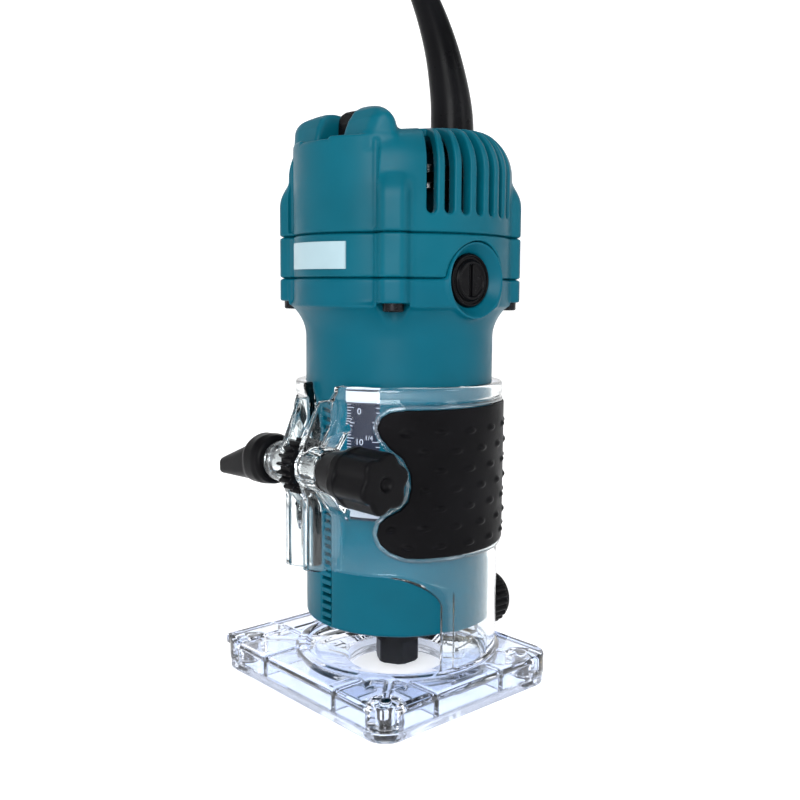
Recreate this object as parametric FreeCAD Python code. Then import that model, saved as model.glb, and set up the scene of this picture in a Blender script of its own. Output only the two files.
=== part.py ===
# Trim router: a slim motor unit that slides up and down inside a clear base.
# Frame: millimetres, +Z up, origin on the spindle axis at the underside of the sub-base.
# -Y is the clamp and rack side, +Y is the guide clamp side, the brush caps face +X and -X.
import FreeCAD, Part
import math
import os

os.makedirs("parts", exist_ok=True)
V = FreeCAD.Vector
UP = V(0, 0, 1)
ALONG_X = V(1, 0, 0)
ALONG_Y = V(0, 1, 0)

# ---- driving dimensions ----
TUBE_R = 32.5            # motor tube, the standard 65 mm
TUBE_WALL = 2.5
TUBE_Z = 23.0            # underside of the motor tube
FLARE_Z = 120.5          # start of the flare under the head
HEAD_Z = 131.5           # underside of the head
SEAM_1 = 140.5           # housing to middle ring
SEAM_2 = 154.5           # middle ring to top cover
TOP_Z = 190.6            # flat top of the cover
HEAD_R = 38.2
BARREL_R = 30.5          # rounded front of the head
BARREL_Y = -7.5
CAVITY_R = 33.4
LUG_REACH = 41.5
LUG_WIDTH = 10.5
LUG_TOP = 174.5
SCREW_RING = 37.0        # distance of the housing screws from the axis
SEAM_STEP = 0.6          # depth of the groove along each seam
GUARD_IN = 6.6           # half width of the channel round the switch
CHANNEL_FLOOR = 186.5
ROCKER_Y = -18.0         # the rocker's axis, along X
ROCKER_Z = 186.0
CORD_HOLE_Y = 25.0
CORD_HOLE_R = 8.35
CLAMP_POSTS = (12.5, -12.5)
LABEL_FROM = -72.6       # the scale label's two edges, as angles round the tube
LABEL_TO = -52.4

BASE_X = 45.0            # half width of the base plate
BASE_FRONT = -46.0
BASE_BACK = 33.5
BASE_TOP = 11.0
SUB_BASE = 3.0           # thickness of the sub-base
CORNER_R = 8.0
OPENING_R = 17.0
SLEEVE_IN = 32.58
SLEEVE_OUT = 35.3
SLEEVE_TOP = 105.8
BEAD_R = 36.3
WINDOW_TOP = 43.9
WINDOW_X = 33.0
GAP = 3.3                # half width of the clamp gap

SHAFT_Y = -41.5          # adjusting screw axis, along X
SHAFT_Z = 79.5
SHAFT_R = 3.0
BOSS_R = 6.9
BOSS_RIGHT = 14.0
BOSS_LEFT = -13.5
MODULE = 0.9
PINION_TEETH = 19
ADDENDUM = 0.75
DEDENDUM = 0.95
PRESSURE = math.radians(20)
BACKLASH = 0.3
LEVER_X = -14.5          # inner face of the lever nut
LEVER_NUT_X = -22.0      # outer end of the brass nut inside the lever
LEVER_NUT_R = 5.2
LOBE_R = 3.1             # lobes of the height knob
LOBE_RING = 6.5
LOBE_TURN = 15.0

GUIDE_Z = 17.0           # guide clamp axis, along Y
GUIDE_FACE = 38.4

BRUSH_Z = 140.0
BRUSH_BOSS_R = 12.35
CAP_R = 8.6
CAP_FACE = 37.2
BOSS_FACE = 37.4
RUN = 0.05               # radial running clearance

CORD_R = 3.0
COIL_CENTRE = V(-78, 72, 0)
COIL_MEAN = 32.0
COIL_WIDTH = 18.0
COIL_HEIGHT = 21.4
TIE_ANGLE = 205.0
PLUG_TURN = -40.0        # the plug lies on the coil, turned this far from -X
PLUG_X = -2.5            # where the cord meets the plug, from the coil centre before the turn
PLUG_Y = 24.0
PLUG_Z = COIL_HEIGHT + 6.9

PITCH = math.pi * MODULE
PINION_R = MODULE * PINION_TEETH / 2
RACK_LINE = SHAFT_Y + PINION_R
KNOB_REACH = LOBE_RING * math.cos(math.radians(LOBE_TURN)) + LOBE_R
GUIDE_END = -SHAFT_Y + KNOB_REACH    # as far behind the axis as the height knob is in front


# ---- helpers ----
def rod(radius, start, axis, length):
    return Part.makeCylinder(radius, length, start, axis)


def post(radius, z0, z1, x=0.0, y=0.0):
    return rod(radius, V(x, y, z0), UP, z1 - z0)


def rod_x(radius, x0, x1, y, z):
    return rod(radius, V(x0, y, z), ALONG_X, x1 - x0)


def rod_y(radius, y0, y1, x, z):
    return rod(radius, V(x, y0, z), ALONG_Y, y1 - y0)


def ring(outer, inner, z0, z1, x=0.0, y=0.0):
    return post(outer, z0, z1, x, y).cut(post(inner, z0 - 1, z1 + 1, x, y))


def block(x0, x1, y0, y1, z0, z1):
    return Part.makeBox(x1 - x0, y1 - y0, z1 - z0, V(x0, y0, z0))


def rounded_block(x0, x1, y0, y1, z0, z1, radius):
    solid = block(x0, x1, y0, y1, z0, z1)
    upright = [e for e in solid.Edges if abs(e.tangentAt(e.FirstParameter).z) > 0.9]
    return solid.makeFillet(radius, upright)


def face_of(points):
    return Part.Face(Part.makePolygon(list(points) + [points[0]]))


def slab(points, push):
    return face_of(points).extrude(push)


def lathe(profile, start=V(0, 0, 0), axis=UP):
    """Turn a closed profile of (radius, height) points about the axis."""
    wire = Part.makePolygon([V(r, 0, z) for r, z in profile + profile[:1]])
    return Part.Face(wire).revolve(start, axis, 360)


def turned(shape, degrees, centre=V(0, 0, 0), axis=UP):
    copy = shape.copy()
    copy.rotate(centre, axis, degrees)
    return copy


def moved(shape, x, y, z):
    copy = shape.copy()
    copy.translate(V(x, y, z))
    return copy


def mirrored(shape):
    return shape.mirror(V(0, 0, 0), ALONG_X)


def join(shapes):
    solid = shapes[0]
    for other in shapes[1:]:
        solid = solid.fuse(other)
    return solid.removeSplitter()


def less(solid, tools):
    for tool in tools:
        solid = solid.cut(tool)
    return solid


def rounded(solid, radius, wanted):
    """Fillet the edges whose centre passes the wanted test."""
    edges = [e for e in solid.Edges if wanted(e.CenterOfMass, e)]
    return solid.makeFillet(radius, edges)


def save(name, shape):
    solids = shape.Solids
    keep = solids[0] if len(solids) == 1 else Part.makeCompound(solids)
    keep.exportStep("parts/" + name + ".step")
    print(name, len(solids), round(shape.Volume / 1000, 3), shape.isValid())


def polar(radius, degrees, z=0.0):
    angle = math.radians(degrees)
    return V(radius * math.cos(angle), radius * math.sin(angle), z)


DIAGONALS = (45, 135, 225, 315)
SCREWS = [polar(SCREW_RING, a) for a in DIAGONALS]


# ---- head outline shared by the housing flange, the middle ring and the cover ----
def head_core(z0, z1, inset=0.0):
    """The head in plan: round sides and back, and a tighter round front."""
    core = post(HEAD_R - inset, z0, z1)
    reach = 60.0
    half = math.radians(36.0)
    wedge = slab([V(0, 0, z0), V(-reach * math.tan(half), -reach, z0),
                  V(reach * math.tan(half), -reach, z0)], V(0, 0, z1 - z0))
    return core.cut(wedge).fuse(post(BARREL_R - inset, z0, z1, 0, BARREL_Y))


def lug(angle, z0, z1, inset=0.0):
    """One screw lug on a diagonal, square to it, with rounded corners."""
    half = LUG_WIDTH / 2 - inset
    pad = rounded_block(26, LUG_REACH - inset, -half, half, z0, z1, 1.6)
    return turned(pad, angle)


def head_slice(z0, z1, low_seam, high_seam):
    """A slice of the head with a fine groove along its seams."""
    low = 0.3 if low_seam else 0.0
    high = 0.3 if high_seam else 0.0
    full = [head_core(z0 + low, z1 - high)]
    full += [lug(a, z0 + low, z1 - high) for a in DIAGONALS]
    thin = [head_core(z0, z1, SEAM_STEP)]
    thin += [lug(a, z0, z1, SEAM_STEP) for a in DIAGONALS]
    return join(full + thin)


def brush_boss():
    return rod_x(BRUSH_BOSS_R, 24.0, BOSS_FACE, 0, BRUSH_Z)


# ---- motor housing ----
def rack_gaps():
    """Gaps between the rack teeth, one of them level with the pinion axis."""
    tip = RACK_LINE - ADDENDUM
    root = RACK_LINE + DEDENDUM
    slope = math.tan(PRESSURE)
    half = PITCH / 4 + 0.05
    at_tip = half + (ADDENDUM + 0.5) * slope
    at_root = half - DEDENDUM * slope
    gaps = []
    first = math.ceil((TUBE_Z + 1.0 - SHAFT_Z) / PITCH)
    last = math.floor((100.0 - SHAFT_Z) / PITCH)
    for k in range(first, last + 1):
        z = SHAFT_Z + k * PITCH
        corners = [V(-3, tip - 0.5, z - at_tip), V(-3, tip - 0.5, z + at_tip),
                   V(-3, root, z + at_root), V(-3, root, z - at_root)]
        gaps.append(slab(corners, V(6, 0, 0)))
    return Part.makeCompound(gaps)


def flare():
    """Concave flare from the tube out to the head."""
    curve = Part.Arc(V(TUBE_R, 0, FLARE_Z), V(34.1, 0, 127.0), V(37.6, 0, HEAD_Z)).toShape()
    inner = Part.makePolygon([V(37.6, 0, HEAD_Z), V(20, 0, HEAD_Z), V(20, 0, FLARE_Z),
                              V(TUBE_R, 0, FLARE_Z)])
    return Part.Face(Part.Wire([curve] + inner.Edges)).revolve(V(0, 0, 0), UP, 360)


def label_sector(outer, inner, z0, z1):
    band = ring(outer, inner, z0, z1)
    wedge = slab([V(0, 0, z0), polar(60, LABEL_FROM, z0), polar(60, LABEL_TO, z0)],
                 V(0, 0, z1 - z0))
    return band.common(wedge)


def motor_housing():
    tube = post(TUBE_R, TUBE_Z, FLARE_Z + 1)
    tube = rounded(tube, 1.2, lambda c, e: abs(c.z - TUBE_Z) < 0.01)
    rack = block(-2.4, 2.4, RACK_LINE - ADDENDUM, -30, TUBE_Z + 1.0, 100.0)
    body = join([tube, flare(), rack, head_slice(HEAD_Z, SEAM_1, False, True)])
    ramps = [post(5.4, 121, HEAD_Z + 1.2, s.x * 1.045, s.y * 1.045) for s in SCREWS]
    holes = [post(1.95, HEAD_Z - 1, SEAM_1 + 1, s.x, s.y) for s in SCREWS]
    bores = [post(TUBE_R - TUBE_WALL, 36.5, 126), post(CAVITY_R, 126, SEAM_1 + 1),
             post(14.02, 27.5, 40), post(13.2, 25.2, 30), post(9.0, 20, 30)]
    body = less(body, ramps + holes + bores + [rack_gaps()])
    webs = [turned(block(14.6, 30.2, -1.1, 1.1, 27, 36.4), a) for a in range(0, 360, 60)]
    body = less(body, [ring(30.0, 17.0, 27.0, 40.0)])
    body = join([body] + webs)
    vents = []
    for angle in range(30, 390, 60):
        port = ring(28.0, 20.0, 20.0, 30.0).common(
            slab([V(0, 0, 20), polar(60, angle - 21, 20), polar(60, angle + 21, 20)], V(0, 0, 12)))
        vents.append(port)
    bosses = [brush_boss(), mirrored(brush_boss())]
    body = join([less(body, vents)] + bosses)
    sockets = []
    for side in (1, -1):
        dish = Part.makeCone(CAP_R + 0.3, BRUSH_BOSS_R - 1.0, 1.6, V(side * 35.9, 0, BRUSH_Z),
                             V(side, 0, 0))
        cap_hole = rod(CAP_R + RUN, V(side * 31.0, 0, BRUSH_Z), V(side, 0, 0), 12)
        holder_hole = rod(6.55, V(side * 20.0, 0, BRUSH_Z), V(side, 0, 0), 12)
        over = rod(BRUSH_BOSS_R, V(side * BOSS_FACE, 0, BRUSH_Z), V(side, 0, 0), 6)
        sockets += [dish, cap_hole, holder_hole, over]
    body = less(body, sockets)
    return body.cut(label_sector(TUBE_R + 1, TUBE_R - 0.3, 61.8, 106.4))


def middle_ring():
    body = head_slice(SEAM_1, SEAM_2, True, True)
    body = body.cut(post(CAVITY_R, SEAM_1 - 1, SEAM_2 + 1))
    spider = ring(CAVITY_R + 0.5, 9.52, 150.8, SEAM_2)
    windows = []
    for angle in range(30, 390, 60):
        windows.append(ring(29.5, 14.5, 149, 156).common(
            slab([V(0, 0, 149), polar(60, angle - 22, 149), polar(60, angle + 22, 149)],
                 V(0, 0, 8))))
    seat = ring(12.0, 9.52, 150.8, 158.2)
    body = join([body, less(spider, windows), seat])
    notches = []
    for side in (1, -1):
        notches.append(rod(BRUSH_BOSS_R + 0.25, V(side * 20, 0, BRUSH_Z), V(side, 0, 0), 28))
    holes = [post(1.95, SEAM_1 - 1, SEAM_2 + 1, s.x, s.y) for s in SCREWS]
    return less(body, notches + holes)


# ---- top cover ----
def dome(radius, top, shoulder, z0):
    side = Part.makeLine(V(radius, 0, z0), V(radius, 0, top - shoulder))
    middle = V(radius - shoulder + shoulder * math.cos(math.pi / 4), 0,
               top - shoulder + shoulder * math.sin(math.pi / 4))
    arc = Part.Arc(V(radius, 0, top - shoulder), middle, V(radius - shoulder, 0, top)).toShape()
    rest = Part.makePolygon([V(radius - shoulder, 0, top), V(0, 0, top), V(0, 0, z0),
                             V(radius, 0, z0)])
    return Part.Face(Part.Wire([side, arc] + rest.Edges)).revolve(V(0, 0, 0), UP, 360)


def guard(side):
    """Rounded hill beside the switch, upright on the inside."""
    levels = ((176, -40.0, 2.0, 25.0), (186, -35.5, -6.0, 19.5), (191.5, -31.5, -10.5, 15.5),
              (194.6, -26.5, -14.5, 12.5), (195.4, -23.0, -18.0, 10.5))
    wires = []
    for z, front, back, wide in levels:
        plate = rounded_block(GUARD_IN, wide, front, back, 0, 1, (wide - GUARD_IN) * 0.45)
        top = [f for f in plate.Faces if f.normalAt(0, 0).z > 0.9][0]
        wires.append(moved(top.OuterWire, 0, 0, z - 1))
    hill = Part.makeLoft(wires, True, False)
    return hill if side > 0 else mirrored(hill)


def arched_lug(angle, z1, inset=0.0):
    """Screw lug on the cover with an arched top."""
    pad = lug(angle, SEAM_2, z1 - 4.5, inset)
    half = LUG_WIDTH / 2 - inset
    arch = rod(half, V(26, 0, z1 - 4.5), ALONG_X, LUG_REACH - inset - 26)
    cap = arch.common(block(20, 45, -8, 8, z1 - 4.5, z1 + 9))
    return pad.fuse(turned(cap, angle))


def top_cover():
    z0 = SEAM_2 + 0.3
    shell = dome(HEAD_R, TOP_Z, 16.0, z0)
    half = math.radians(36.0)
    wedge = slab([V(0, 0, z0 - 1), V(-60 * math.tan(half), -60, z0 - 1),
                  V(60 * math.tan(half), -60, z0 - 1)], V(0, 0, 60))
    outside = wedge.cut(post(25.0, z0 - 2, 200, 0, -4))
    shell = shell.cut(outside)
    barrel = post(BARREL_R, z0, 188.2, 0, BARREL_Y)
    barrel = rounded(barrel, 2.0, lambda c, e: abs(c.z - 188.2) < 0.01)
    barrel = barrel.common(wedge.fuse(post(20.0, z0, 189, 0, BARREL_Y)))
    hills = [guard(1), guard(-1)]
    limit = post(BARREL_R, 150, 200, 0, BARREL_Y)
    hills = [h.common(limit) for h in hills]
    lugs = [arched_lug(a, LUG_TOP) for a in DIAGONALS]
    foot = [head_core(SEAM_2, z0 + 1, SEAM_STEP)]
    foot += [lug(a, SEAM_2, z0 + 1, SEAM_STEP) for a in DIAGONALS]
    body = join([shell, barrel] + hills + lugs + foot)
    hollow = dome(CAVITY_R, TOP_Z - 3.2, 14.0, SEAM_2 - 1)
    front_wall = block(-45, 45, -45, -33.0, 150, 200)
    body = body.cut(hollow.cut(front_wall))
    under = block(-13, 13, -32, -4, 170, 183.4)
    floor_pad = block(-14.5, 14.5, -33, -4, 183.4, 188)
    body = join([body, floor_pad.common(limit)]).cut(under)
    channel = block(-GUARD_IN, GUARD_IN, -45, -5.5, CHANNEL_FLOOR, 200)
    window = block(-5.9, 5.9, -28.4, -7.6, 180, 190)
    slots = []
    for k in range(-3, 4):
        slot = block(24.5, 45, -1.65, 1.65, 162.2, 200)
        slot = slot.fuse(rod_x(1.65, 24.5, 45, 0, 162.2))
        slot = slot.cut(dome(25.8, 230, 10, 150))
        slots.append(turned(slot, 9.0 * k))
        slots.append(turned(slot, 180 + 9.0 * k))
    posts = [post(2.7, 179.5, 186.0, x, CORD_HOLE_Y) for x in CLAMP_POSTS]
    body = join([body] + [p.common(shell) for p in posts])
    holes = [post(1.85, SEAM_2 - 1, 169, s.x, s.y) for s in SCREWS]
    holes += [post(1.55, 175, 183.2, x, CORD_HOLE_Y) for x in CLAMP_POSTS]
    cord_hole = [post(CORD_HOLE_R, 180, 200, 0, CORD_HOLE_Y)]
    return less(body, [channel, window] + slots + holes + cord_hole)


# ---- clear base ----
def base_ribs():
    ribs = []
    for x in (-37.0, 37.0):
        for y in (BASE_FRONT + 8, BASE_BACK - 8):
            ribs.append(post(5.0, SUB_BASE, BASE_TOP - 0.5, x, y))
            reach = math.hypot(x, y)
            rib = block(18.5, reach - 3, -0.9, 0.9, SUB_BASE, BASE_TOP - 0.5)
            ribs.append(turned(rib, math.degrees(math.atan2(y, x))))
    for x in (-19.0, 19.0):
        ribs.append(block(x - 0.9, x + 0.9, BASE_FRONT + 1, -17, SUB_BASE, BASE_TOP - 0.5))
    for y in (-22.0, 8.0):
        ribs.append(block(-BASE_X + 1, -17, y - 0.9, y + 0.9, SUB_BASE, BASE_TOP - 0.5))
        ribs.append(block(17, BASE_X - 1, y - 0.9, y + 0.9, SUB_BASE, BASE_TOP - 0.5))
    return ribs


CORNER_SCREWS = [V(x, y, 0) for x in (-37.0, 37.0) for y in (BASE_FRONT + 8, BASE_BACK - 8)]


def base_plate():
    plate = rounded_block(-BASE_X, BASE_X, BASE_FRONT, BASE_BACK, SUB_BASE, BASE_TOP, CORNER_R)
    plate = rounded(plate, 0.9, lambda c, e: abs(c.z - BASE_TOP) < 0.01)
    hollow = rounded_block(-BASE_X + 2.6, BASE_X - 2.6, BASE_FRONT + 2.6, BASE_BACK - 2.6,
                           SUB_BASE - 1, BASE_TOP - 2.6, CORNER_R - 2.6)
    keep = [post(OPENING_R + 2.4, SUB_BASE - 2, BASE_TOP), ring(SLEEVE_OUT, 31.0, 1, BASE_TOP)]
    hollow = less(hollow, keep + base_ribs())
    plate = plate.cut(hollow)
    steps = []
    for x0, x1 in ((-BASE_X + 1.2, -16), (16, BASE_X - 1.2)):
        steps.append(block(x0, x1, BASE_FRONT + 1.2, -24.5, BASE_TOP - 0.01, BASE_TOP + 0.6))
    return join([plate] + steps)


def rounded_window(x, z0, z1, radius):
    hole = block(-x, x, -60, -5, z0, z1)
    return rounded(hole, radius, lambda c, e: abs(e.tangentAt(e.FirstParameter).y) > 0.9
                   and abs(c.z - z1) < 0.01)


def ear(side):
    """Clamp ear: a radial plate, a round boss and two webs back to the sleeve."""
    near = side * GAP
    thick = side * 2.8
    y, z = SHAFT_Y, SHAFT_Z
    outline = ((-33.2, SLEEVE_TOP), (-39.0, SLEEVE_TOP + 0.6), (-40.2, 100.5),
               (y - 4.8, z + 7.0), (y - 4.5, z - 6.0), (-44.8, 70.0), (-44.8, 46.0),
               (-38.5, WINDOW_TOP), (-33.2, WINDOW_TOP))
    plate = slab([V(near, across, up) for across, up in outline], V(thick, 0, 0))
    end = BOSS_RIGHT if side > 0 else BOSS_LEFT
    low = min(near, end)
    boss = rod_x(BOSS_R, low, max(near, end), y, z)
    upper = ((y + 1.5, z + 6.6), (y + 3.5, z + 5.6), (-30.5, 96.0), (-30.5, 99.5))
    lower = ((y - 1.0, z - 6.7), (y + 1.8, z - 6.5), (-30.5, 62.5), (-30.5, 58.5))
    back = ((y + 4.0, z - 1.2), (y + 4.0, z + 1.2), (-30.5, z + 1.2), (-30.5, z - 1.2))
    webs = []
    for corners in (upper, lower, back):
        points = [V(low, across, up) for across, up in corners]
        webs.append(slab(points, V(abs(end) - GAP, 0, 0)))
    return [plate, boss] + webs


def trimmer_base():
    sleeve = post(SLEEVE_OUT, SUB_BASE + 2, SLEEVE_TOP)
    bead = post(BEAD_R, 101.2, SLEEVE_TOP)
    bead = rounded(bead, 0.8, lambda c, e: e.Length > 100)
    bracket = rounded_block(-9.5, 9.5, 28, 38.4, BASE_TOP - 2, 26.5, 2.0)
    bracket = bracket.fuse(block(-9.5, 9.5, 28, BASE_BACK, SUB_BASE, BASE_TOP))
    parts = [base_plate(), sleeve, bead, bracket] + ear(1) + ear(-1)
    body = join(parts)
    body = body.cut(post(SLEEVE_IN, BASE_TOP, SLEEVE_TOP + 5))
    body = body.cut(post(OPENING_R, 0, BASE_TOP + 1))
    body = body.cut(rounded_window(WINDOW_X, BASE_TOP + 0.6, WINDOW_TOP, 10.5))
    mouth = slab([V(-GAP, -60, 90.5), V(-5.2, -60, 100.6), V(-7.6, -60, 104.0), V(-7.6, -60, 112),
                  V(7.6, -60, 112), V(7.6, -60, 104.0), V(5.2, -60, 100.6), V(GAP, -60, 90.5)],
                 V(0, 24.2, 0))
    slit = block(-GAP, GAP, -60, -20, 40, 115)
    bore = rod_x(SHAFT_R + RUN + 0.01, -20, 20, SHAFT_Y, SHAFT_Z)
    insert = rod_y(4.0, 33.6, 45, 0, 17.0)
    stud = rod_y(3.2, 30, 45, 0, 17.0)
    holes = [post(2.02, 0, 9.6, s.x, s.y) for s in CORNER_SCREWS]
    mouth_sides = mouth.common(ring(60, 32.0, 80, 115)).cut(block(-6.2, 6.2, -60, -36.4, 80, 120))
    body = less(body, [slit, mouth_sides, bore, insert, stud] + holes)
    return body


def sub_base():
    plate = rounded_block(-BASE_X + 0.3, BASE_X - 0.3, BASE_FRONT + 0.3, BASE_BACK - 0.3, 0,
                          SUB_BASE, CORNER_R - 0.3)
    plate = rounded(plate, 0.5, lambda c, e: abs(c.z) < 0.01)
    tools = [post(OPENING_R, -1, 4)]
    for s in CORNER_SCREWS:
        tools.append(post(2.15, -1, 4, s.x, s.y))
        tools.append(Part.makeCone(4.2, 2.15, 2.2, V(s.x, s.y, 0)))
    return less(plate, tools)


def base_screw(centre):
    head = Part.makeCone(3.7, 1.95, 1.9, V(centre.x, centre.y, 0.35))
    shank = post(1.95, 2.0, 9.2, centre.x, centre.y)
    slot_a = block(centre.x - 2.2, centre.x + 2.2, centre.y - 0.45, centre.y + 0.45, 0, 1.3)
    slot_b = turned(slot_a, 90, centre)
    return join([head, shank]).cut(slot_a).cut(slot_b)


GRIP_OUT = 36.9


def rubber_grip():
    """Rubber wrap round the sides and back, open at the front for the clamp."""
    wrap = ring(GRIP_OUT, SLEEVE_OUT + 0.03, 50.6, 99.0)
    front = block(-21.3, 21.3, -60, 0, 40, 110)
    notches = [rod_y(11.5, -60, 0, side * 16.6, 75.0) for side in (1, -1)]
    body = less(wrap, [front] + notches)
    corners = []
    for side in (1, -1):
        for z, sign in ((99.0, 1), (50.6, -1)):
            size = 5.5
            corner = block(-1, size, -60, 0, -1, size)
            corner = corner.cut(rod_y(size, -61, 1, size, size))
            corner = moved(corner, 21.3, 0, 0)
            if sign > 0:
                corner = moved(corner.mirror(V(0, 0, 0), UP), 0, 0, z)
            else:
                corner = moved(corner, 0, 0, z)
            corners.append(corner if side > 0 else mirrored(corner))
    return less(body, corners)


# ---- height clamp ----
def pinion_outline():
    """Involute-flanked teeth, one tooth centred on +Y."""
    base_r = PINION_R * math.cos(PRESSURE)
    tip_r = PINION_R + ADDENDUM
    root_r = PINION_R - DEDENDUM - 0.1
    half_pitch = (PITCH / 2 - BACKLASH) / 2 / PINION_R
    involute = math.tan(PRESSURE) - PRESSURE
    points = []
    for tooth in range(PINION_TEETH):
        centre = tooth * 2 * math.pi / PINION_TEETH
        flank = []
        for step in range(5):
            r = base_r + (tip_r - base_r) * step / 4
            slope = math.acos(min(1.0, base_r / r))
            flank.append((r, half_pitch + involute - (math.tan(slope) - slope)))
        root = (root_r, flank[0][1] + 0.01)
        for r, a in [root] + flank:
            points.append((r, centre - a))
        for r, a in reversed([root] + flank):
            points.append((r, centre + a))
    return [V(0, r * math.cos(a), r * math.sin(a)) for r, a in points]


def pinion():
    gear = slab(pinion_outline(), V(5.2, 0, 0))
    gear = moved(gear, -2.6, SHAFT_Y, SHAFT_Z)
    return gear.cut(rod_x(SHAFT_R, -10, 10, SHAFT_Y, SHAFT_Z))


def adjusting_screw():
    shaft = rod_x(SHAFT_R, -23.5, 24.0, SHAFT_Y, SHAFT_Z)
    grooves = []
    for k in range(9):
        x = -22.8 + k
        groove = rod_x(4.0, x, x + 0.35, SHAFT_Y, SHAFT_Z)
        grooves.append(groove.cut(rod_x(SHAFT_R - 0.3, x - 1, x + 1, SHAFT_Y, SHAFT_Z)))
    return less(shaft, grooves)


def adjusting_knob():
    y, z = SHAFT_Y, SHAFT_Z
    core = rod_x(8.3, 23.0, 41.0, y, z)
    lobes = []
    for k in range(6):
        angle = math.radians(60 * k + LOBE_TURN)
        lobes.append(rod_x(LOBE_R, 23.0, 41.0, y + LOBE_RING * math.cos(angle),
                           z + LOBE_RING * math.sin(angle)))
    crown = join([core] + lobes)
    crown = rounded(crown, 0.9, lambda c, e: abs(c.x - 41.0) < 0.01 or abs(c.x - 23.0) < 0.01)
    neck = Part.makeCone(6.4, 8.3, 9.0, V(14.3, y, z), ALONG_X)
    body = join([neck, crown])
    dimple = rod_x(1.8, 40.3, 42.0, y, z)
    return less(body, [rod_x(SHAFT_R, 10.0, 24.0, y, z), dimple])


def rounded_section(x, y0, y1, z0, z1, radius):
    plate = rounded_block(y0, y1, z0, z1, 0, 1, radius)
    top = [f for f in plate.Faces if f.normalAt(0, 0).z > 0.9][0].OuterWire
    top.translate(V(0, 0, -1))
    matrix = FreeCAD.Matrix(0, 0, 1, x, 1, 0, 0, 0, 0, 1, 0, 0, 0, 0, 0, 1)
    return top.transformGeometry(matrix)


def lever_hexagon(end):
    """Hexagonal bar on the shaft axis, from the outer end of the brass nut to the given X."""
    corners = []
    for a in range(0, 360, 60):
        angle = math.radians(a)
        corners.append(V(LEVER_NUT_X, SHAFT_Y + LEVER_NUT_R * math.cos(angle),
                         SHAFT_Z + LEVER_NUT_R * math.sin(angle)))
    return slab(corners, V(end - LEVER_NUT_X, 0, 0))


def lever_nut():
    y, z = SHAFT_Y, SHAFT_Z
    hub = rod_x(8.4, LEVER_X - 9.5, LEVER_X, y, z)
    hub = rounded(hub, 1.6, lambda c, e: e.Length > 40)
    sections = [rounded_section(-18.0, y - 7.6, y + 6.8, z - 7.6, z + 7.6, 4.5),
                rounded_section(-25.0, y - 7.4, y + 4.6, z - 8.0, z + 5.6, 4.0),
                rounded_section(-34.0, y - 6.8, y + 1.0, z - 7.9, z + 1.0, 2.6),
                rounded_section(-43.0, y - 6.0, y - 1.6, z - 8.0, z - 2.6, 1.6)]
    arm = Part.makeLoft(sections, True, False)
    body = join([hub, arm])
    pocket = rod_x(SHAFT_R + 0.4, -27.0, -10.0, y, z)
    return less(body, [pocket, lever_hexagon(-10.0)])


def lever_nut_insert():
    return lever_hexagon(LEVER_X).cut(rod_x(SHAFT_R + RUN, -30, -10, SHAFT_Y, SHAFT_Z))


def clamp_washer():
    disc = rod_x(6.2, LEVER_X, BOSS_LEFT, SHAFT_Y, SHAFT_Z)
    return disc.cut(rod_x(SHAFT_R + RUN, -20, -10, SHAFT_Y, SHAFT_Z))


# ---- guide clamp on the back ----
def guide_insert():
    nut = rod_y(4.0, 33.6, GUIDE_FACE, 0, GUIDE_Z)
    return nut.cut(rod_y(2.55, 30, 45, 0, GUIDE_Z))


def guide_stud():
    stud = rod_y(2.5, 33.8, 47.0, 0, GUIDE_Z)
    grooves = []
    for k in range(5):
        y = 34.4 + 0.8 * k
        groove = rod_y(3.5, y, y + 0.3, 0, GUIDE_Z)
        grooves.append(groove.cut(rod_y(2.2, y - 1, y + 1, 0, GUIDE_Z)))
    return less(stud, grooves)


def guide_washer():
    return rod_y(6.5, GUIDE_FACE, 39.4, 0, GUIDE_Z).cut(rod_y(2.6, 30, 45, 0, GUIDE_Z))


def guide_knob():
    core = rod_y(9.7, 39.4, GUIDE_END, 0, GUIDE_Z)
    core = rounded(core, 1.4, lambda c, e: e.Length > 40 and c.y > 45)
    ribs = []
    for k in range(24):
        angle = math.radians(15 * k)
        ribs.append(rod_y(1.0, 40.4, 48.8, 9.6 * math.cos(angle), GUIDE_Z + 9.6 * math.sin(angle)))
    body = join([core] + ribs)
    return less(body, [rod_y(2.5, 35, 47.0, 0, GUIDE_Z), rod_y(5.5, GUIDE_END - 0.8, 52, 0, GUIDE_Z)])


# ---- inside the motor ----
def field_window(room):
    """Space of one field coil on the +Y side, with the given room all round."""
    band = ring(26.5 + room, 18.4 - room, 54 - room, 111 + room)
    spread = 52 + 2 * room
    wide = slab([V(0, 0, 50), polar(60, 90 - spread, 50), polar(60, 90 + spread, 50)],
                V(0, 0, 70))
    return band.common(wide)


def stator_core():
    core = ring(TUBE_R - TUBE_WALL - 0.03, 17.6, 60, 105)
    pole = slab([V(0, 0, 50), polar(60, 62, 50), polar(60, 118, 50)], V(0, 0, 70))
    room = field_window(0.1).cut(pole.common(ring(40, 5, 60, 105)))
    return less(core, [room, turned(room, 180)])


def field_coils():
    pole = slab([V(0, 0, 50), polar(60, 61.5, 50), polar(60, 118.5, 50)], V(0, 0, 70))
    coil = field_window(0.0).cut(pole.common(ring(40, 5, 59.9, 105.1)))
    return Part.makeCompound([coil, turned(coil, 180)])


def baffle_plate():
    return ring(TUBE_R - TUBE_WALL - 0.03, 16.0, 51.0, 53.0)


def armature_core():
    core = ring(17.0, 5.0, 62, 103)
    slots = []
    for k in range(12):
        slot = block(9.5, 15.6, -1.5, 1.5, 60, 105).fuse(block(15, 18, -0.8, 0.8, 60, 105))
        slots.append(turned(slot, 30 * k))
    return less(core, slots)


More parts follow.
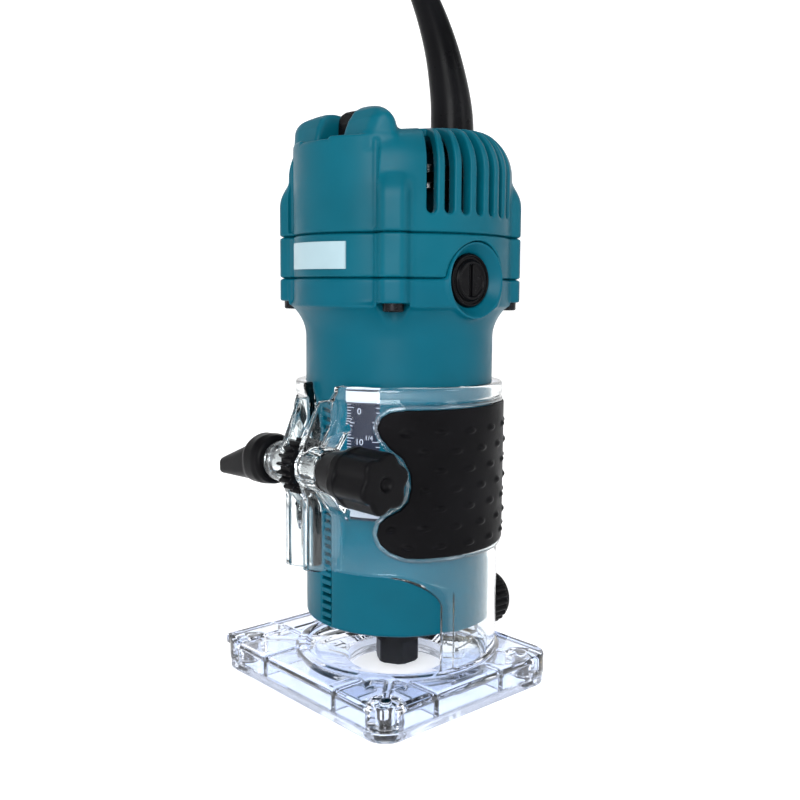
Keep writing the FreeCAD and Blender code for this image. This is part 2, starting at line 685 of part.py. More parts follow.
def armature_windings():
    wires = [turned(block(9.7, 15.4, -1.35, 1.35, 60.5, 104.5), 30 * k) for k in range(12)]
    low = lathe([(5.2, 55.5), (13.5, 55.5), (15.4, 57.5), (15.4, 61.9), (5.2, 61.9)])
    high = lathe([(5.2, 103.1), (15.4, 103.1), (15.4, 108.0), (12.0, 112.5), (5.2, 112.5)])
    return join([low, high] + wires)


def commutator():
    drum = ring(11.5, 4.0, 130, 148)
    lip = ring(12.6, 4.0, 126.5, 130)
    cuts = []
    for k in range(24):
        cuts.append(turned(block(10.6, 13, -0.2, 0.2, 126, 149), 15 * k))
    return less(join([drum, lip]), cuts)


def spindle():
    profile = [(0, 158.5), (3.45, 158.5), (3.5, 149), (4.0, 149), (4.0, 114), (5.0, 114), (5.0, 40),
               (6.0, 36.6), (6.0, 27.0), (5.8, 27.0), (5.8, 6.0), (4.65, 6.0), (3.65, 18.0),
               (3.1, 18.0), (3.1, 30.0), (0, 30.0)]
    shaft = lathe(profile)
    flats = [block(5.0, 8, -8, 8, 21.6, 24.4), block(-8, -5.0, -8, 8, 21.6, 24.4)]
    return less(shaft, flats)


def fan():
    hub = ring(9.0, 5.0, 40.5, 49.5)
    disc = ring(28.3, 5.0, 46.5, 48.0)
    blades = []
    for k in range(14):
        blade = block(9.5, 28.0, -0.7, 0.7, 40.5, 47.0)
        blade.rotate(V(9.5, 0, 0), UP, 22)
        blades.append(turned(blade, k * 360 / 14))
    return join([hub, disc] + [b.common(post(28.3, 40, 50)) for b in blades])


def bearing(outer, inner, z0, z1):
    """Outer ring, inner ring and balls of a deep-groove ball bearing."""
    ball_r = (outer - inner) * 0.29
    ball_ring = (outer + inner) / 2
    middle = (z0 + z1) / 2
    groove = Part.makeTorus(ball_ring, ball_r + 0.04, V(0, 0, middle))
    wide = outer - (outer - inner) * 0.24
    narrow = inner + (outer - inner) * 0.24
    outer_ring = ring(outer, wide, z0, z1).cut(groove)
    inner_ring = ring(narrow, inner, z0, z1).cut(groove)
    balls = []
    for k in range(8):
        balls.append(Part.makeSphere(ball_r, polar(ball_ring, 45 * k, middle)))
    return outer_ring, inner_ring, Part.makeCompound(balls)


def collet_cone():
    cone = lathe([(3.0, 5.4), (4.55, 5.4), (4.55, 6.4), (3.6, 17.4), (3.0, 17.4)])
    slits = [turned(block(2, 6, -0.35, 0.35, 4, 14), a) for a in (0, 90, 180, 270)]
    return less(cone, slits)


def collet_nut():
    nut = lathe([(3.3, 4.0), (7.4, 4.0), (7.85, 4.5), (7.85, 20.5), (7.4, 21.0), (5.86, 21.0),
                 (5.86, 5.3), (4.7, 5.3), (3.3, 5.0)])
    flats = []
    for a in range(0, 360, 60):
        flats.append(turned(block(6.95, 10, -10, 10, 3, 12.0), a))
    return less(nut, flats)


def dust_seal():
    return ring(13.15, 6.3, 25.3, 27.4)


# ---- brushes ----
def brush_holder(side):
    tube = rod(6.5, V(side * 15.5, 0, BRUSH_Z), V(side, 0, 0), 15.4)
    channel = block(0, 40, -3.1, 3.1, BRUSH_Z - 4.1, BRUSH_Z + 4.1)
    return tube.cut(channel if side > 0 else mirrored(channel))


def carbon_brush(side):
    brush = block(11.62, 22.0, -3.0, 3.0, BRUSH_Z - 4.0, BRUSH_Z + 4.0)
    return brush if side > 0 else mirrored(brush)


def brush_spring(side):
    """Coil spring behind a brush, drawn as close turns."""
    turns = []
    for k in range(6):
        turn = Part.makeTorus(2.2, 0.35, V(22.4 + 1.32 * k, 0, BRUSH_Z), ALONG_X)
        turns.append(turn)
    bars = block(22.4, 29.0, -0.3, 0.3, BRUSH_Z + 1.95, BRUSH_Z + 2.45)
    spring = join(turns + [bars])
    return spring if side > 0 else mirrored(spring)


def brush_cap(side):
    disc = rod_x(CAP_R, 31.1, 36.6, 0, BRUSH_Z)
    disc = rounded(disc, 0.7, lambda c, e: e.Length > 40 and c.x > 33)
    face_ring = rod_x(6.3, 36.0, CAP_FACE, 0, BRUSH_Z).cut(rod_x(5.2, 35.9, 40, 0, BRUSH_Z))
    slot = block(35.2, 40, -0.75, 0.75, BRUSH_Z - 5.0, BRUSH_Z + 5.0)
    cap = join([disc, face_ring]).cut(slot)
    return cap if side > 0 else mirrored(cap)


# ---- switch ----
def switch_body():
    body = block(-7.5, 7.5, -31.0, -5.0, 165.0, 183.4)
    body = rounded(body, 1.2, lambda c, e: abs(c.z - 165) < 0.01)
    recess = rod_x(9.2, -5.9, 5.9, ROCKER_Y, ROCKER_Z)
    lugs = [block(-4, 4, y - 0.4, y + 0.4, 158.5, 165.5) for y in (-26.0, -20.0, -12.0)]
    return join([body.cut(recess)] + lugs)


def switch_rocker():
    """Rocker with its front end up at rest; it turns about an axis along X."""
    y, z = ROCKER_Y, ROCKER_Z
    low = rod_x(8.8, -5.6, 5.6, y, z).common(block(-6, 6, y - 9, y + 9, z - 5.6, z + 1.0))
    outline = [V(-5.6, y - 8.6, z - 1.0), V(-5.6, y - 7.9, z + 6.4), V(-5.6, y - 6.6, z + 8.6),
               V(-5.6, y - 4.4, z + 9.4), V(-5.6, y - 2.4, z + 8.9), V(-5.6, y, z + 6.6),
               V(-5.6, y + 4.0, z + 4.4), V(-5.6, y + 8.6, z + 3.0), V(-5.6, y + 8.6, z - 1.0)]
    cap = slab(outline, V(11.2, 0, 0))
    cap = cap.common(rounded_block(-5.6, 5.6, y - 12, y + 12, z - 5, z + 12, 2.4))
    return join([low, cap])


# ---- cord ----
GUARD_PATH = [V(0, 25, 186.0), V(0, 25, 198.0), V(-1.8, 24.7, 209.5), V(-4.9, 24.2, 222.0),
              V(-9.8, 23.4, 235.0), V(-15.2, 22.5, 246.0)]
GUARD_RADII = (7.8, 7.6, 6.9, 6.1, 5.3, 4.6)
CORD_ROUTE = [V(-15.2, 22.5, 246), V(-20.6, 21.9, 257), V(-29.2, 24.3, 270.5),
              V(-40.6, 32.6, 280.5), V(-52, 45.4, 284), V(-60.2, 60.2, 280),
              V(-65.1, 72.7, 269.5), V(-66.5, 80.8, 253.5), V(-64.4, 85.3, 232),
              V(-60.8, 84.5, 203), V(-52.4, 73.6, 162), V(-42.6, 59.2, 118),
              V(-34.4, 47.6, 76), V(-30.4, 42.6, 48), V(-29.0, 41.6, 28.8),
              V(-29.5, 44.6, 17.2), V(-30.6, 52.2, 8.1), V(-32.2, 63, 3.05),
              V(-34.6, 75.5, 3.05), V(-40.6, 87.0, 3.05), V(-49.6, 96.0, 3.05)]


def tangents(points):
    result = []
    for i in range(len(points)):
        before = points[max(i - 1, 0)]
        after = points[min(i + 1, len(points) - 1)]
        result.append((after - before).normalize())
    return result


def rounded_path(points):
    """Straight runs joined by tangent arcs, each as large as its runs allow."""
    edges = []
    start = points[0]
    for i in range(1, len(points) - 1):
        before = (points[i - 1] - points[i])
        after = (points[i + 1] - points[i])
        shorter = min(before.Length, after.Length)
        turn = math.pi - before.getAngle(after)
        radius = 0.45 * shorter / math.tan(turn / 2)
        into = before.normalize()
        out = after.normalize()
        a = points[i] + into * (0.45 * shorter)
        b = points[i] + out * (0.45 * shorter)
        bisector = (into + out).normalize()
        middle = points[i] + bisector * (radius / math.cos(turn / 2) - radius)
        edges.append(Part.LineSegment(start, a).toShape())
        edges.append(Part.Arc(a, middle, b).toShape())
        start = b
    edges.append(Part.LineSegment(start, points[-1]).toShape())
    return Part.Wire(edges)


def hose(points, radius):
    path = rounded_path(points)
    aim = (points[1] - points[0]).normalize()
    circle = Part.Wire(Part.makeCircle(radius, points[0], aim))
    return path.makePipeShell([circle], True, False)


def cord_guard():
    aims = tangents(GUARD_PATH)
    aims[0] = UP
    aims[-1] = (CORD_ROUTE[1] - CORD_ROUTE[0]).normalize()
    wires = []
    for centre, radius, aim in zip(GUARD_PATH, GUARD_RADII, aims):
        wires.append(Part.Wire(Part.makeCircle(radius, centre, aim)))
    body = Part.makeLoft(wires, True, False)
    collar = post(9.5, 181.0, 187.3, 0, CORD_HOLE_Y)
    collar = collar.common(dome(CAVITY_R - 0.1, TOP_Z - 3.3, 14.0, 150))
    return join([body, collar])


def cord_clamp():
    bar = rounded_block(-15, 15, 21.5, 28.5, 176.0, 179.5, 1.5)
    holes = [post(1.55, 170, 190, x, CORD_HOLE_Y) for x in CLAMP_POSTS]
    return less(bar, holes + [post(CORD_R + RUN, 170, 190, 0, CORD_HOLE_Y)])


def cord_clamp_screws():
    screws = []
    for x in CLAMP_POSTS:
        head = post(2.6, 174.2, 176.0, x, CORD_HOLE_Y)
        slot = block(x - 3, x + 3, CORD_HOLE_Y - 0.35, CORD_HOLE_Y + 0.35, 173, 175.0)
        screws.append(join([head, post(1.5, 176.0, 183.0, x, CORD_HOLE_Y)]).cut(slot))
    return Part.makeCompound(screws)


def cord_entry():
    return post(CORD_R, 169.0, 181.0, 0, CORD_HOLE_Y)


def cord_coil():
    half = COIL_WIDTH / 2
    coil = ring(COIL_MEAN + half, COIL_MEAN - half, 0, COIL_HEIGHT, COIL_CENTRE.x, COIL_CENTRE.y)
    coil = rounded(coil, 4.0, lambda c, e: e.Length > 60)
    return coil.cut(tie_band())


def tie_band():
    """Strap round the coil's section."""
    half = COIL_WIDTH / 2
    outer = block(COIL_MEAN - half - 1.0, COIL_MEAN + half + 1.0, -6, 6, 0.0, COIL_HEIGHT + 1.0)
    inner = block(COIL_MEAN - half + 0.2, COIL_MEAN + half - 0.2, -7, 7, 1.0, COIL_HEIGHT - 0.2)
    band = turned(outer.cut(inner), TIE_ANGLE)
    return moved(band, COIL_CENTRE.x, COIL_CENTRE.y, 0)


# The cord from the top of the coil to the plug, from the coil centre and before the turn.
TAIL = ((20.5, -16.0, 18.4), (25.0, -6.5, 18.6), (25.6, 4.5, 20.5), (21.3, 14.6, 23.6),
        (13.0, 21.6, 26.8), (5.0, PLUG_Y, PLUG_Z), (PLUG_X, PLUG_Y, PLUG_Z))


def tail_route():
    turn = math.radians(PLUG_TURN)
    route = []
    for x, y, z in TAIL:
        route.append(V(COIL_CENTRE.x + x * math.cos(turn) - y * math.sin(turn),
                       COIL_CENTRE.y + x * math.sin(turn) + y * math.cos(turn), z))
    return route


def plug_start():
    """Where the cord meets the plug, before the plug's turn about the coil."""
    return V(COIL_CENTRE.x + PLUG_X, COIL_CENTRE.y + PLUG_Y, PLUG_Z)


def plug_body():
    start = plug_start()
    x, y = start.x, start.y
    relief = Part.makeCone(4.0, 5.6, 16.0, start, V(-1, 0, 0))
    shell = block(x - 50, x - 15, y - 17.6, y + 17.6, PLUG_Z - 6.85, PLUG_Z + 6.85)
    corners = []
    for side in (1, -1):
        outline = ((14, 6.5), (14, 20), (32, 20), (26, 17.7))
        points = [V(x - along, y + side * across, 0) for along, across in outline]
        corners.append(slab(points, V(0, 0, 60)))
    shell = less(shell, corners)
    shell = rounded(shell, 1.5, lambda c, e: c.x > x - 49 and e.Length > 12)
    holes = [rod(2.0, V(x - 60, y + s * 9.3, PLUG_Z), ALONG_X, 20) for s in (1, -1)]
    return turned(less(join([relief, shell]), holes), PLUG_TURN, COIL_CENTRE)


def plug_pins():
    start = plug_start()
    pins = []
    for side in (1, -1):
        pin = rod(2.0, V(start.x - 68, start.y + side * 9.3, PLUG_Z), ALONG_X, 28)
        pins.append(rounded(pin, 1.2, lambda c, e: c.x < start.x - 67))
    return turned(Part.makeCompound(pins), PLUG_TURN, COIL_CENTRE)


def housing_screws():
    screws = []
    for s in SCREWS:
        head = post(3.4, 130.0, HEAD_Z + 1.2, s.x, s.y)
        head = rounded(head, 0.6, lambda c, e: abs(c.z - 130.0) < 0.01)
        shank = post(1.8, HEAD_Z + 1.2, 166, s.x, s.y)
        cross = [block(s.x - 2.0, s.x + 2.0, s.y - 0.4, s.y + 0.4, 129, 131.2)]
        cross.append(turned(cross[0], 90, s))
        screws.append(less(join([head, shank]), cross))
    return Part.makeCompound(screws)


def badge():
    """Plain blank badge let into the front of the middle ring."""
    band = post(BARREL_R + 0.45, 143.3, 151.9, 0, BARREL_Y).cut(
        post(BARREL_R, 143, 152, 0, BARREL_Y))
    window = block(-13.5, 13.5, -50, -30, 143.3, 151.9)
    return band.common(window)


LOWER = bearing(14.0, 6.0, 28.0, 36.0)
UPPER = bearing(9.5, 3.5, 151.6, 157.6)

save("trimmer_base", trimmer_base())
save("sub_base", sub_base())
save("base_screws", Part.makeCompound([base_screw(s) for s in CORNER_SCREWS]))
save("rubber_grip", rubber_grip())
save("height_pinion", pinion())
save("adjusting_screw", adjusting_screw())
save("adjusting_knob", adjusting_knob())
save("lever_nut", lever_nut())
save("lever_nut_insert", lever_nut_insert())
save("clamp_washer", clamp_washer())
save("guide_clamp_insert", guide_insert())
save("guide_clamp_stud", guide_stud())
save("guide_clamp_washer", guide_washer())
save("guide_clamp_knob", guide_knob())
save("motor_housing", motor_housing())
save("middle_ring", middle_ring())
save("top_cover", top_cover())
save("housing_screws", housing_screws())
save("blank_badge", badge())
save("scale_label", label_sector(TUBE_R - 0.02, TUBE_R - 0.3, 62.0, 106.2))
save("stator_core", stator_core())
save("field_coils", field_coils())
save("baffle_plate", baffle_plate())
save("armature_core", armature_core())
save("armature_windings", armature_windings())
save("commutator", commutator())
save("spindle", spindle())
save("cooling_fan", fan())
for name, pieces in (("lower_bearing", LOWER), ("upper_bearing", UPPER)):
    for label, piece in zip(("outer_ring", "inner_ring", "balls"), pieces):
        save(name + "_" + label, piece)
save("dust_seal", dust_seal())
save("collet_cone", collet_cone())
save("collet_nut", collet_nut())
for name, side in (("right", 1), ("left", -1)):
    save("brush_holder_" + name, brush_holder(side))
    save("carbon_brush_" + name, carbon_brush(side))
    save("brush_spring_" + name, brush_spring(side))
    save("brush_cap_" + name, brush_cap(side))
save("switch_body", switch_body())
save("switch_rocker", switch_rocker())
save("cord_guard", cord_guard())
save("cord_clamp", cord_clamp())
save("cord_clamp_screws", cord_clamp_screws())
save("cord_entry", cord_entry())
save("cord_lead", hose(CORD_ROUTE, CORD_R))
save("cord_coil", cord_coil())
save("cord_tie", tie_band())
save("cord_tail", hose(tail_route(), CORD_R))
save("plug_body", plug_body())
save("plug_pins", plug_pins())
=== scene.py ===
"""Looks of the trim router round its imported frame. Shapes are in millimetres until meshed."""
import math

import bmesh
import bpy
import numpy as np
import openvdb
from mathutils import Matrix, Vector


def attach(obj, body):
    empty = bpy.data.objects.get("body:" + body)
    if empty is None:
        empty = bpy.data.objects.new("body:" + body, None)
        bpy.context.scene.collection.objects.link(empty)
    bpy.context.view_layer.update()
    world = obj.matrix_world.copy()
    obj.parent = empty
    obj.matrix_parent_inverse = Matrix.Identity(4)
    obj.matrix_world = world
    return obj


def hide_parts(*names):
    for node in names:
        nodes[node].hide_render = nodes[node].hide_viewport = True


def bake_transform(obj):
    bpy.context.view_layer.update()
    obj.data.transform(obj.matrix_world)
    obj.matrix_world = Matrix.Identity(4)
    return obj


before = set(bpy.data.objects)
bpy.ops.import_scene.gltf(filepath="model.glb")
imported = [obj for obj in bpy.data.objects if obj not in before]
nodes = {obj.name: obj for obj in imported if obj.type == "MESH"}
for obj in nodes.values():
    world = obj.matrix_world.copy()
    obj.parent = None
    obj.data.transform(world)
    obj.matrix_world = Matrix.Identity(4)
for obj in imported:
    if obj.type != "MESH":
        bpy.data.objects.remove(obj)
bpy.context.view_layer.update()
scene = bpy.context.scene
MM = 0.001               # metres

# ---- dimensions shared with the CAD part ----
TUBE_R = 32.5
TUBE_Z = 23.0
FLARE_Z = 120.5
HEAD_Z = 131.5
SEAM_1 = 140.5
SEAM_2 = 154.5
TOP_Z = 190.6
HEAD_R = 38.2
SHOULDER = 16.0
BARREL_R = 30.5
BARREL_Y = -7.5
CAVITY_R = 33.4
LUG_REACH = 41.5
LUG_HALF = 4.7
SCREW_AT = 37.0 * math.sqrt(0.5)
CHANNEL_X = 6.6
SHAFT_Y = -41.5
SHAFT_Z = 79.5
BRUSH_Z = 140.0
CORD_Y = 25.0
CORD_R = 3.0
COIL_X = -78.0
COIL_Y = 72.0
PLUG_TURN = math.radians(-40)
ROCKER_Y = -18.0
ROCKER_Z = 186.0
GUIDE_Z = 17.0
GUIDE_END = 50.88
PLATE_Y = -6.25          # middle of the base plate
PLATE_TOP = 11.0
SLEEVE_R = 35.3
SLEEVE_TOP = 105.8
BORE_R = 32.58
BIT_R = 17.0             # opening for the bit
GAP = 3.3                # half width of the clamp gap
CORNER_X = 37.0          # plate screws, from the middle of the plate
CORNER_Y = 31.75

# ---- camera ----
CAMERA_AT = Vector((0.2522, -0.2270, 0.1373))
AZIMUTH = math.radians(48.01)
PITCH = math.radians(6.58)
ROLL = math.radians(0.41)
YAW = math.radians(0.07)


def make_camera():
    data = bpy.data.cameras.new("camera")
    data.lens = 43.51
    data.sensor_width = 36.0
    data.clip_start = 0.01
    data.clip_end = 20
    camera = bpy.data.objects.new("camera", data)
    scene.collection.objects.link(camera)
    az = AZIMUTH - YAW
    ahead = Vector((-math.sin(az) * math.cos(PITCH), math.cos(az) * math.cos(PITCH), -math.sin(PITCH)))
    right = ahead.cross(Vector((0, 0, 1))).normalized()
    up = right.cross(ahead)
    side = right * math.cos(ROLL) + up * math.sin(ROLL)
    top = up * math.cos(ROLL) - right * math.sin(ROLL)
    matrix = Matrix((side, top, -ahead)).transposed().to_4x4()
    matrix.translation = CAMERA_AT
    camera.matrix_world = matrix
    scene.camera = camera


make_camera()


# ---- materials ----
class Nodes:
    """A short way to wire up one node material."""

    def __init__(self, name):
        self.material = bpy.data.materials.new(name)
        self.material.use_nodes = True
        self.tree = self.material.node_tree
        self.bsdf = self.tree.nodes["Principled BSDF"]
        self.out = self.tree.nodes["Material Output"]
        self.place = self.new("ShaderNodeTexCoord").outputs["Object"]

    def new(self, kind, **values):
        node = self.tree.nodes.new(kind)
        for key, value in values.items():
            setattr(node, key, value)
        return node

    def link(self, source, target):
        self.tree.links.new(source, target)

    def value(self, key, value):
        self.bsdf.inputs[key].default_value = value

    def noise(self, scale, detail=3.0, rough=0.5, stretch=None):
        node = self.new("ShaderNodeTexNoise")
        node.inputs["Scale"].default_value = scale
        node.inputs["Detail"].default_value = detail
        node.inputs["Roughness"].default_value = rough
        place = self.place
        if stretch:
            mapping = self.new("ShaderNodeMapping")
            mapping.inputs["Scale"].default_value = stretch
            self.link(self.place, mapping.inputs["Vector"])
            place = mapping.outputs["Vector"]
        self.link(place, node.inputs["Vector"])
        return node.outputs["Fac"]

    def spread(self, source, low, high, start=0.35, end=0.65):
        node = self.new("ShaderNodeMapRange")
        node.inputs["From Min"].default_value = start
        node.inputs["From Max"].default_value = end
        node.inputs["To Min"].default_value = low
        node.inputs["To Max"].default_value = high
        self.link(source, node.inputs["Value"])
        return node.outputs["Result"]

    def mix(self, factor, first, second):
        node = self.new("ShaderNodeMix", data_type="RGBA")
        self.link(factor, node.inputs["Factor"])
        for socket, colour in ((6, first), (7, second)):
            if isinstance(colour, tuple):
                node.inputs[socket].default_value = (*colour, 1)
            else:
                self.link(colour, node.inputs[socket])
        return node.outputs[2]

    def math(self, operation, first, second=None):
        node = self.new("ShaderNodeMath", operation=operation)
        for socket, item in ((0, first), (1, second)):
            if item is None:
                continue
            if isinstance(item, (int, float)):
                node.inputs[socket].default_value = item
            else:
                self.link(item, node.inputs[socket])
        return node.outputs[0]

    def bump(self, height, distance, strength=1.0, under=None):
        node = self.new("ShaderNodeBump")
        node.inputs["Strength"].default_value = strength
        node.inputs["Distance"].default_value = distance
        self.link(height, node.inputs["Height"])
        if under is not None:
            self.link(under, node.inputs["Normal"])
        return node.outputs["Normal"]


def scaled(colour, factor):
    return tuple(min(1.0, c * factor) for c in colour)


def moulded(name, colour, rough, grain, depth, vary=0.12, edge=0.0, coat=0.0, metallic=0.0, gloss=0.13):
    """Moulded or painted surface: slow colour drift, uneven gloss, fine grain and paler edges."""
    n = Nodes(name)
    tint = n.mix(n.spread(n.noise(38.0, 4.0), 0, 1), scaled(colour, 1 - vary), scaled(colour, 1 + vary))
    if edge:
        sharp = n.new("ShaderNodeNewGeometry").outputs["Pointiness"]
        tint = n.mix(n.spread(sharp, 0.0, edge, 0.52, 0.62), tint, scaled(colour, 2.2))
    n.link(tint, n.bsdf.inputs["Base Color"])
    n.link(n.spread(n.noise(90.0, 5.0, 0.6), rough * 0.85, rough * 1.2), n.bsdf.inputs["Roughness"])
    fine = n.bump(n.noise(grain, 2.0), depth, 0.5)
    n.link(n.bump(n.noise(26.0, 2.0), 0.00012, 0.12, fine), n.bsdf.inputs["Normal"])
    n.value("Specular IOR Level", gloss)
    n.value("Coat Weight", coat)
    n.value("Coat Roughness", 0.18)
    n.value("Metallic", metallic)
    return n.material


def machined(name, colour, rough, stretch=(1, 1, 1), scale=900.0, wear=0.25):
    """Bare metal with fine tool marks and uneven gloss."""
    n = Nodes(name)
    marks = n.noise(scale, 6.0, 0.65, stretch)
    tint = n.mix(n.spread(n.noise(120.0, 4.0), 0, 1),
                 scaled(colour, 1 - wear), scaled(colour, 1 + wear * 0.4))
    n.link(tint, n.bsdf.inputs["Base Color"])
    n.link(n.spread(marks, rough * 0.7, rough * 1.3), n.bsdf.inputs["Roughness"])
    n.link(n.bump(marks, 0.00002, 0.35), n.bsdf.inputs["Normal"])
    n.value("Metallic", 1.0)
    return n.material


SKIN_TINT = (0.94, 0.98, 0.985)


def clear(name, tint, rough, scratch, index=None):
    """Clear polycarbonate with faint flow marks and scratches. Shadow rays pass straight through.

    The sleeve's thin skin bends light less than the plate, the ears, the split and the bead do, and it is
    less tinted. A given index is used all over instead.
    """
    n = Nodes(name)
    n.value("Transmission Weight", 1.0)
    thick = n.new("ShaderNodeSeparateXYZ")
    n.link(n.place, thick.inputs[0])
    colour = n.mix(n.spread(thick.outputs[2], 0, 1, 0.011, 0.014), tint, SKIN_TINT)
    n.link(colour, n.bsdf.inputs["Base Color"])
    plan = n.math("SQRT", n.math("ADD", n.math("MULTIPLY", thick.outputs[0], thick.outputs[0]),
                                 n.math("MULTIPLY", thick.outputs[1], thick.outputs[1])))
    solid = n.math("MAXIMUM", n.spread(plan, 0, 1, 0.0372, 0.0385),
                   n.spread(thick.outputs[2], 1, 0, 0.011, 0.014))
    solid = n.math("MAXIMUM", solid, n.spread(thick.outputs[2], 0, 1, 0.0996, 0.1006))
    split = n.math("MULTIPLY", n.spread(n.math("ABSOLUTE", thick.outputs[0]), 1, 0, 0.008, 0.0095),
                   n.spread(thick.outputs[1], 1, 0, -0.030, -0.028))
    solid = n.math("MAXIMUM", solid, split)
    skin = n.spread(thick.outputs[2], 1.36, 1.20, 0.046, 0.056)
    if index:
        n.value("IOR", index)
    else:
        n.link(n.math("MAXIMUM", n.math("MULTIPLY", solid, 1.46), skin), n.bsdf.inputs["IOR"])
    n.link(n.spread(n.noise(60.0, 4.0), rough * 0.4, rough * 1.4), n.bsdf.inputs["Roughness"])
    flow = n.bump(n.noise(45.0, 2.0), 0.0002, 0.10)
    lines = n.noise(700.0, 2.0, 0.5, (1, 1, 0.06))
    n.link(n.bump(lines, 0.00002, scratch, flow), n.bsdf.inputs["Normal"])
    through = n.new("ShaderNodeBsdfTransparent")
    through.inputs["Color"].default_value = (*scaled(tint, 0.97), 1)
    blend = n.new("ShaderNodeMixShader")
    path = n.new("ShaderNodeLightPath")
    n.link(path.outputs["Is Shadow Ray"], blend.inputs["Fac"])
    n.link(n.bsdf.outputs["BSDF"], blend.inputs[1])
    n.link(through.outputs["BSDF"], blend.inputs[2])
    n.link(blend.outputs["Shader"], n.out.inputs["Surface"])
    return n.material


def woven(name, colour, pitch):
    """Woven strap with a slanting weave."""
    n = Nodes(name)
    wave = n.new("ShaderNodeTexWave", wave_type="BANDS", bands_direction="DIAGONAL")
    wave.inputs["Scale"].default_value = pitch
    wave.inputs["Distortion"].default_value = 1.5
    n.link(n.place, wave.inputs["Vector"])
    tint = n.mix(wave.outputs["Fac"], scaled(colour, 0.5), scaled(colour, 1.6))
    n.link(tint, n.bsdf.inputs["Base Color"])
    n.link(n.bump(wave.outputs["Fac"], 0.0002, 0.8), n.bsdf.inputs["Normal"])
    n.value("Roughness", 0.85)
    return n.material


TEAL = (0.0002, 0.069, 0.101)
BLACK = (0.0026, 0.0026, 0.0032)
MATERIALS = {
    "teal_plastic": moulded("teal_plastic", TEAL, 0.38, 2600.0, 0.00003, 0.08, 0.25, gloss=0.09),
    "tube_teal": moulded("tube_teal", (0.0002, 0.068, 0.103), 0.36, 1400.0, 0.00002, 0.07, 0.15,
                         gloss=0.08),
    "black_plastic": moulded("black_plastic", BLACK, 0.36, 1800.0, 0.00006, 0.25, 0.3, gloss=0.055),
    "rubber_grip": moulded("rubber_grip", (0.0028, 0.0028, 0.0034), 0.42, 1500.0, 0.00008, 0.3, 0.2,
                           gloss=0.04),
    "switch_black": moulded("switch_black", (0.002, 0.002, 0.0025), 0.24, 2200.0, 0.00002, 0.2, 0.3,
                            gloss=0.07),
    "cord_rubber": moulded("cord_rubber", (0.0032, 0.0033, 0.0040), 0.30, 900.0, 0.00005, 0.25,
                           gloss=0.055),
    "label_dark": moulded("label_dark", (0.014, 0.016, 0.028), 0.45, 1500.0, 0.00001, 0.15, gloss=0.1),
    "print_white": moulded("print_white", (0.42, 0.44, 0.50), 0.5, 1500.0, 0.00001, 0.05, gloss=0.1),
    "badge_pale": moulded("badge_pale", (0.26, 0.36, 0.40), 0.35, 1500.0, 0.00002, 0.05, 0.0, 0.3),
    "fan_plastic": moulded("fan_plastic", (0.05, 0.05, 0.05), 0.5, 800.0, 0.0001, 0.2),
    "carbon": moulded("carbon", (0.02, 0.02, 0.02), 0.6, 900.0, 0.0001, 0.3),
    "felt": moulded("felt", (0.42, 0.40, 0.34), 0.95, 700.0, 0.0004, 0.2),
    "steel": machined("steel", (0.60, 0.60, 0.60), 0.28, (1, 1, 12)),
    "screw_dark": machined("screw_dark", (0.018, 0.018, 0.02), 0.32),
    "collet_black": moulded("collet_black", (0.004, 0.004, 0.0045), 0.38, 900.0, 0.00008, 0.3, 0.4,
                            gloss=0.2),
    "brass": machined("brass", (0.68, 0.50, 0.20), 0.27),
    "copper": machined("copper", (0.60, 0.27, 0.13), 0.4, (1, 1, 6), 500.0, 0.4),
    "lamination": machined("lamination", (0.28, 0.28, 0.30), 0.5, (0.2, 0.2, 60), 300.0, 0.4),
    "base_clear": clear("base_clear", (0.87, 0.905, 0.98), 0.02, 0.10),
    "sub_base_clear": clear("sub_base_clear", (0.86, 0.90, 0.98), 0.05, 0.25, 1.46),
    "rim_clear": clear("rim_clear", (0.87, 0.905, 0.98), 0.02, 0.10, 1.5),
    "tie_black": woven("tie_black", (0.02, 0.02, 0.022), 900.0),
}


# ---- signed distance shapes ----
def soft_min(a, b, k):
    h = np.maximum(k - np.abs(a - b), 0) / k
    return np.minimum(a, b) - h * h * k * 0.25


def soft_max(a, b, k):
    return -soft_min(-a, -b, k)


def near(first, *others, k=0.8):
    for other in others:
        first = soft_min(first, other, k)
    return first


def cut(solid, *tools, k=0.6):
    for tool in tools:
        solid = soft_max(solid, -tool, k)
    return solid


def square(u, v, half_u, half_v, radius=0.3):
    """Distance to a rounded rectangle about the origin of u and v."""
    a = np.abs(u) - half_u + radius
    b = np.abs(v) - half_v + radius
    return np.hypot(np.maximum(a, 0), np.maximum(b, 0)) + np.minimum(np.maximum(a, b), 0) - radius


def push(flat, w, low, high, radius=0.3):
    """Extrudes a flat distance between two heights with rounded rims."""
    a = flat + radius
    b = np.maximum(low - w, w - high) + radius
    return np.hypot(np.maximum(a, 0), np.maximum(b, 0)) + np.minimum(np.maximum(a, b), 0) - radius


def rod(u, v, w, r, low, high, radius=0.3):
    return push(np.hypot(u, v) - r, w, low, high, radius)


def tube(u, v, w, outer, inner, low, high, radius=0.3):
    r = np.hypot(u, v)
    return push(np.maximum(r - outer, inner - r), w, low, high, radius)


def block(x, y, z, x0, x1, y0, y1, z0, z1, radius=0.3):
    flat = square(x - (x0 + x1) / 2, y - (y0 + y1) / 2, (x1 - x0) / 2, (y1 - y0) / 2, radius)
    return push(flat, z, z0, z1, radius)


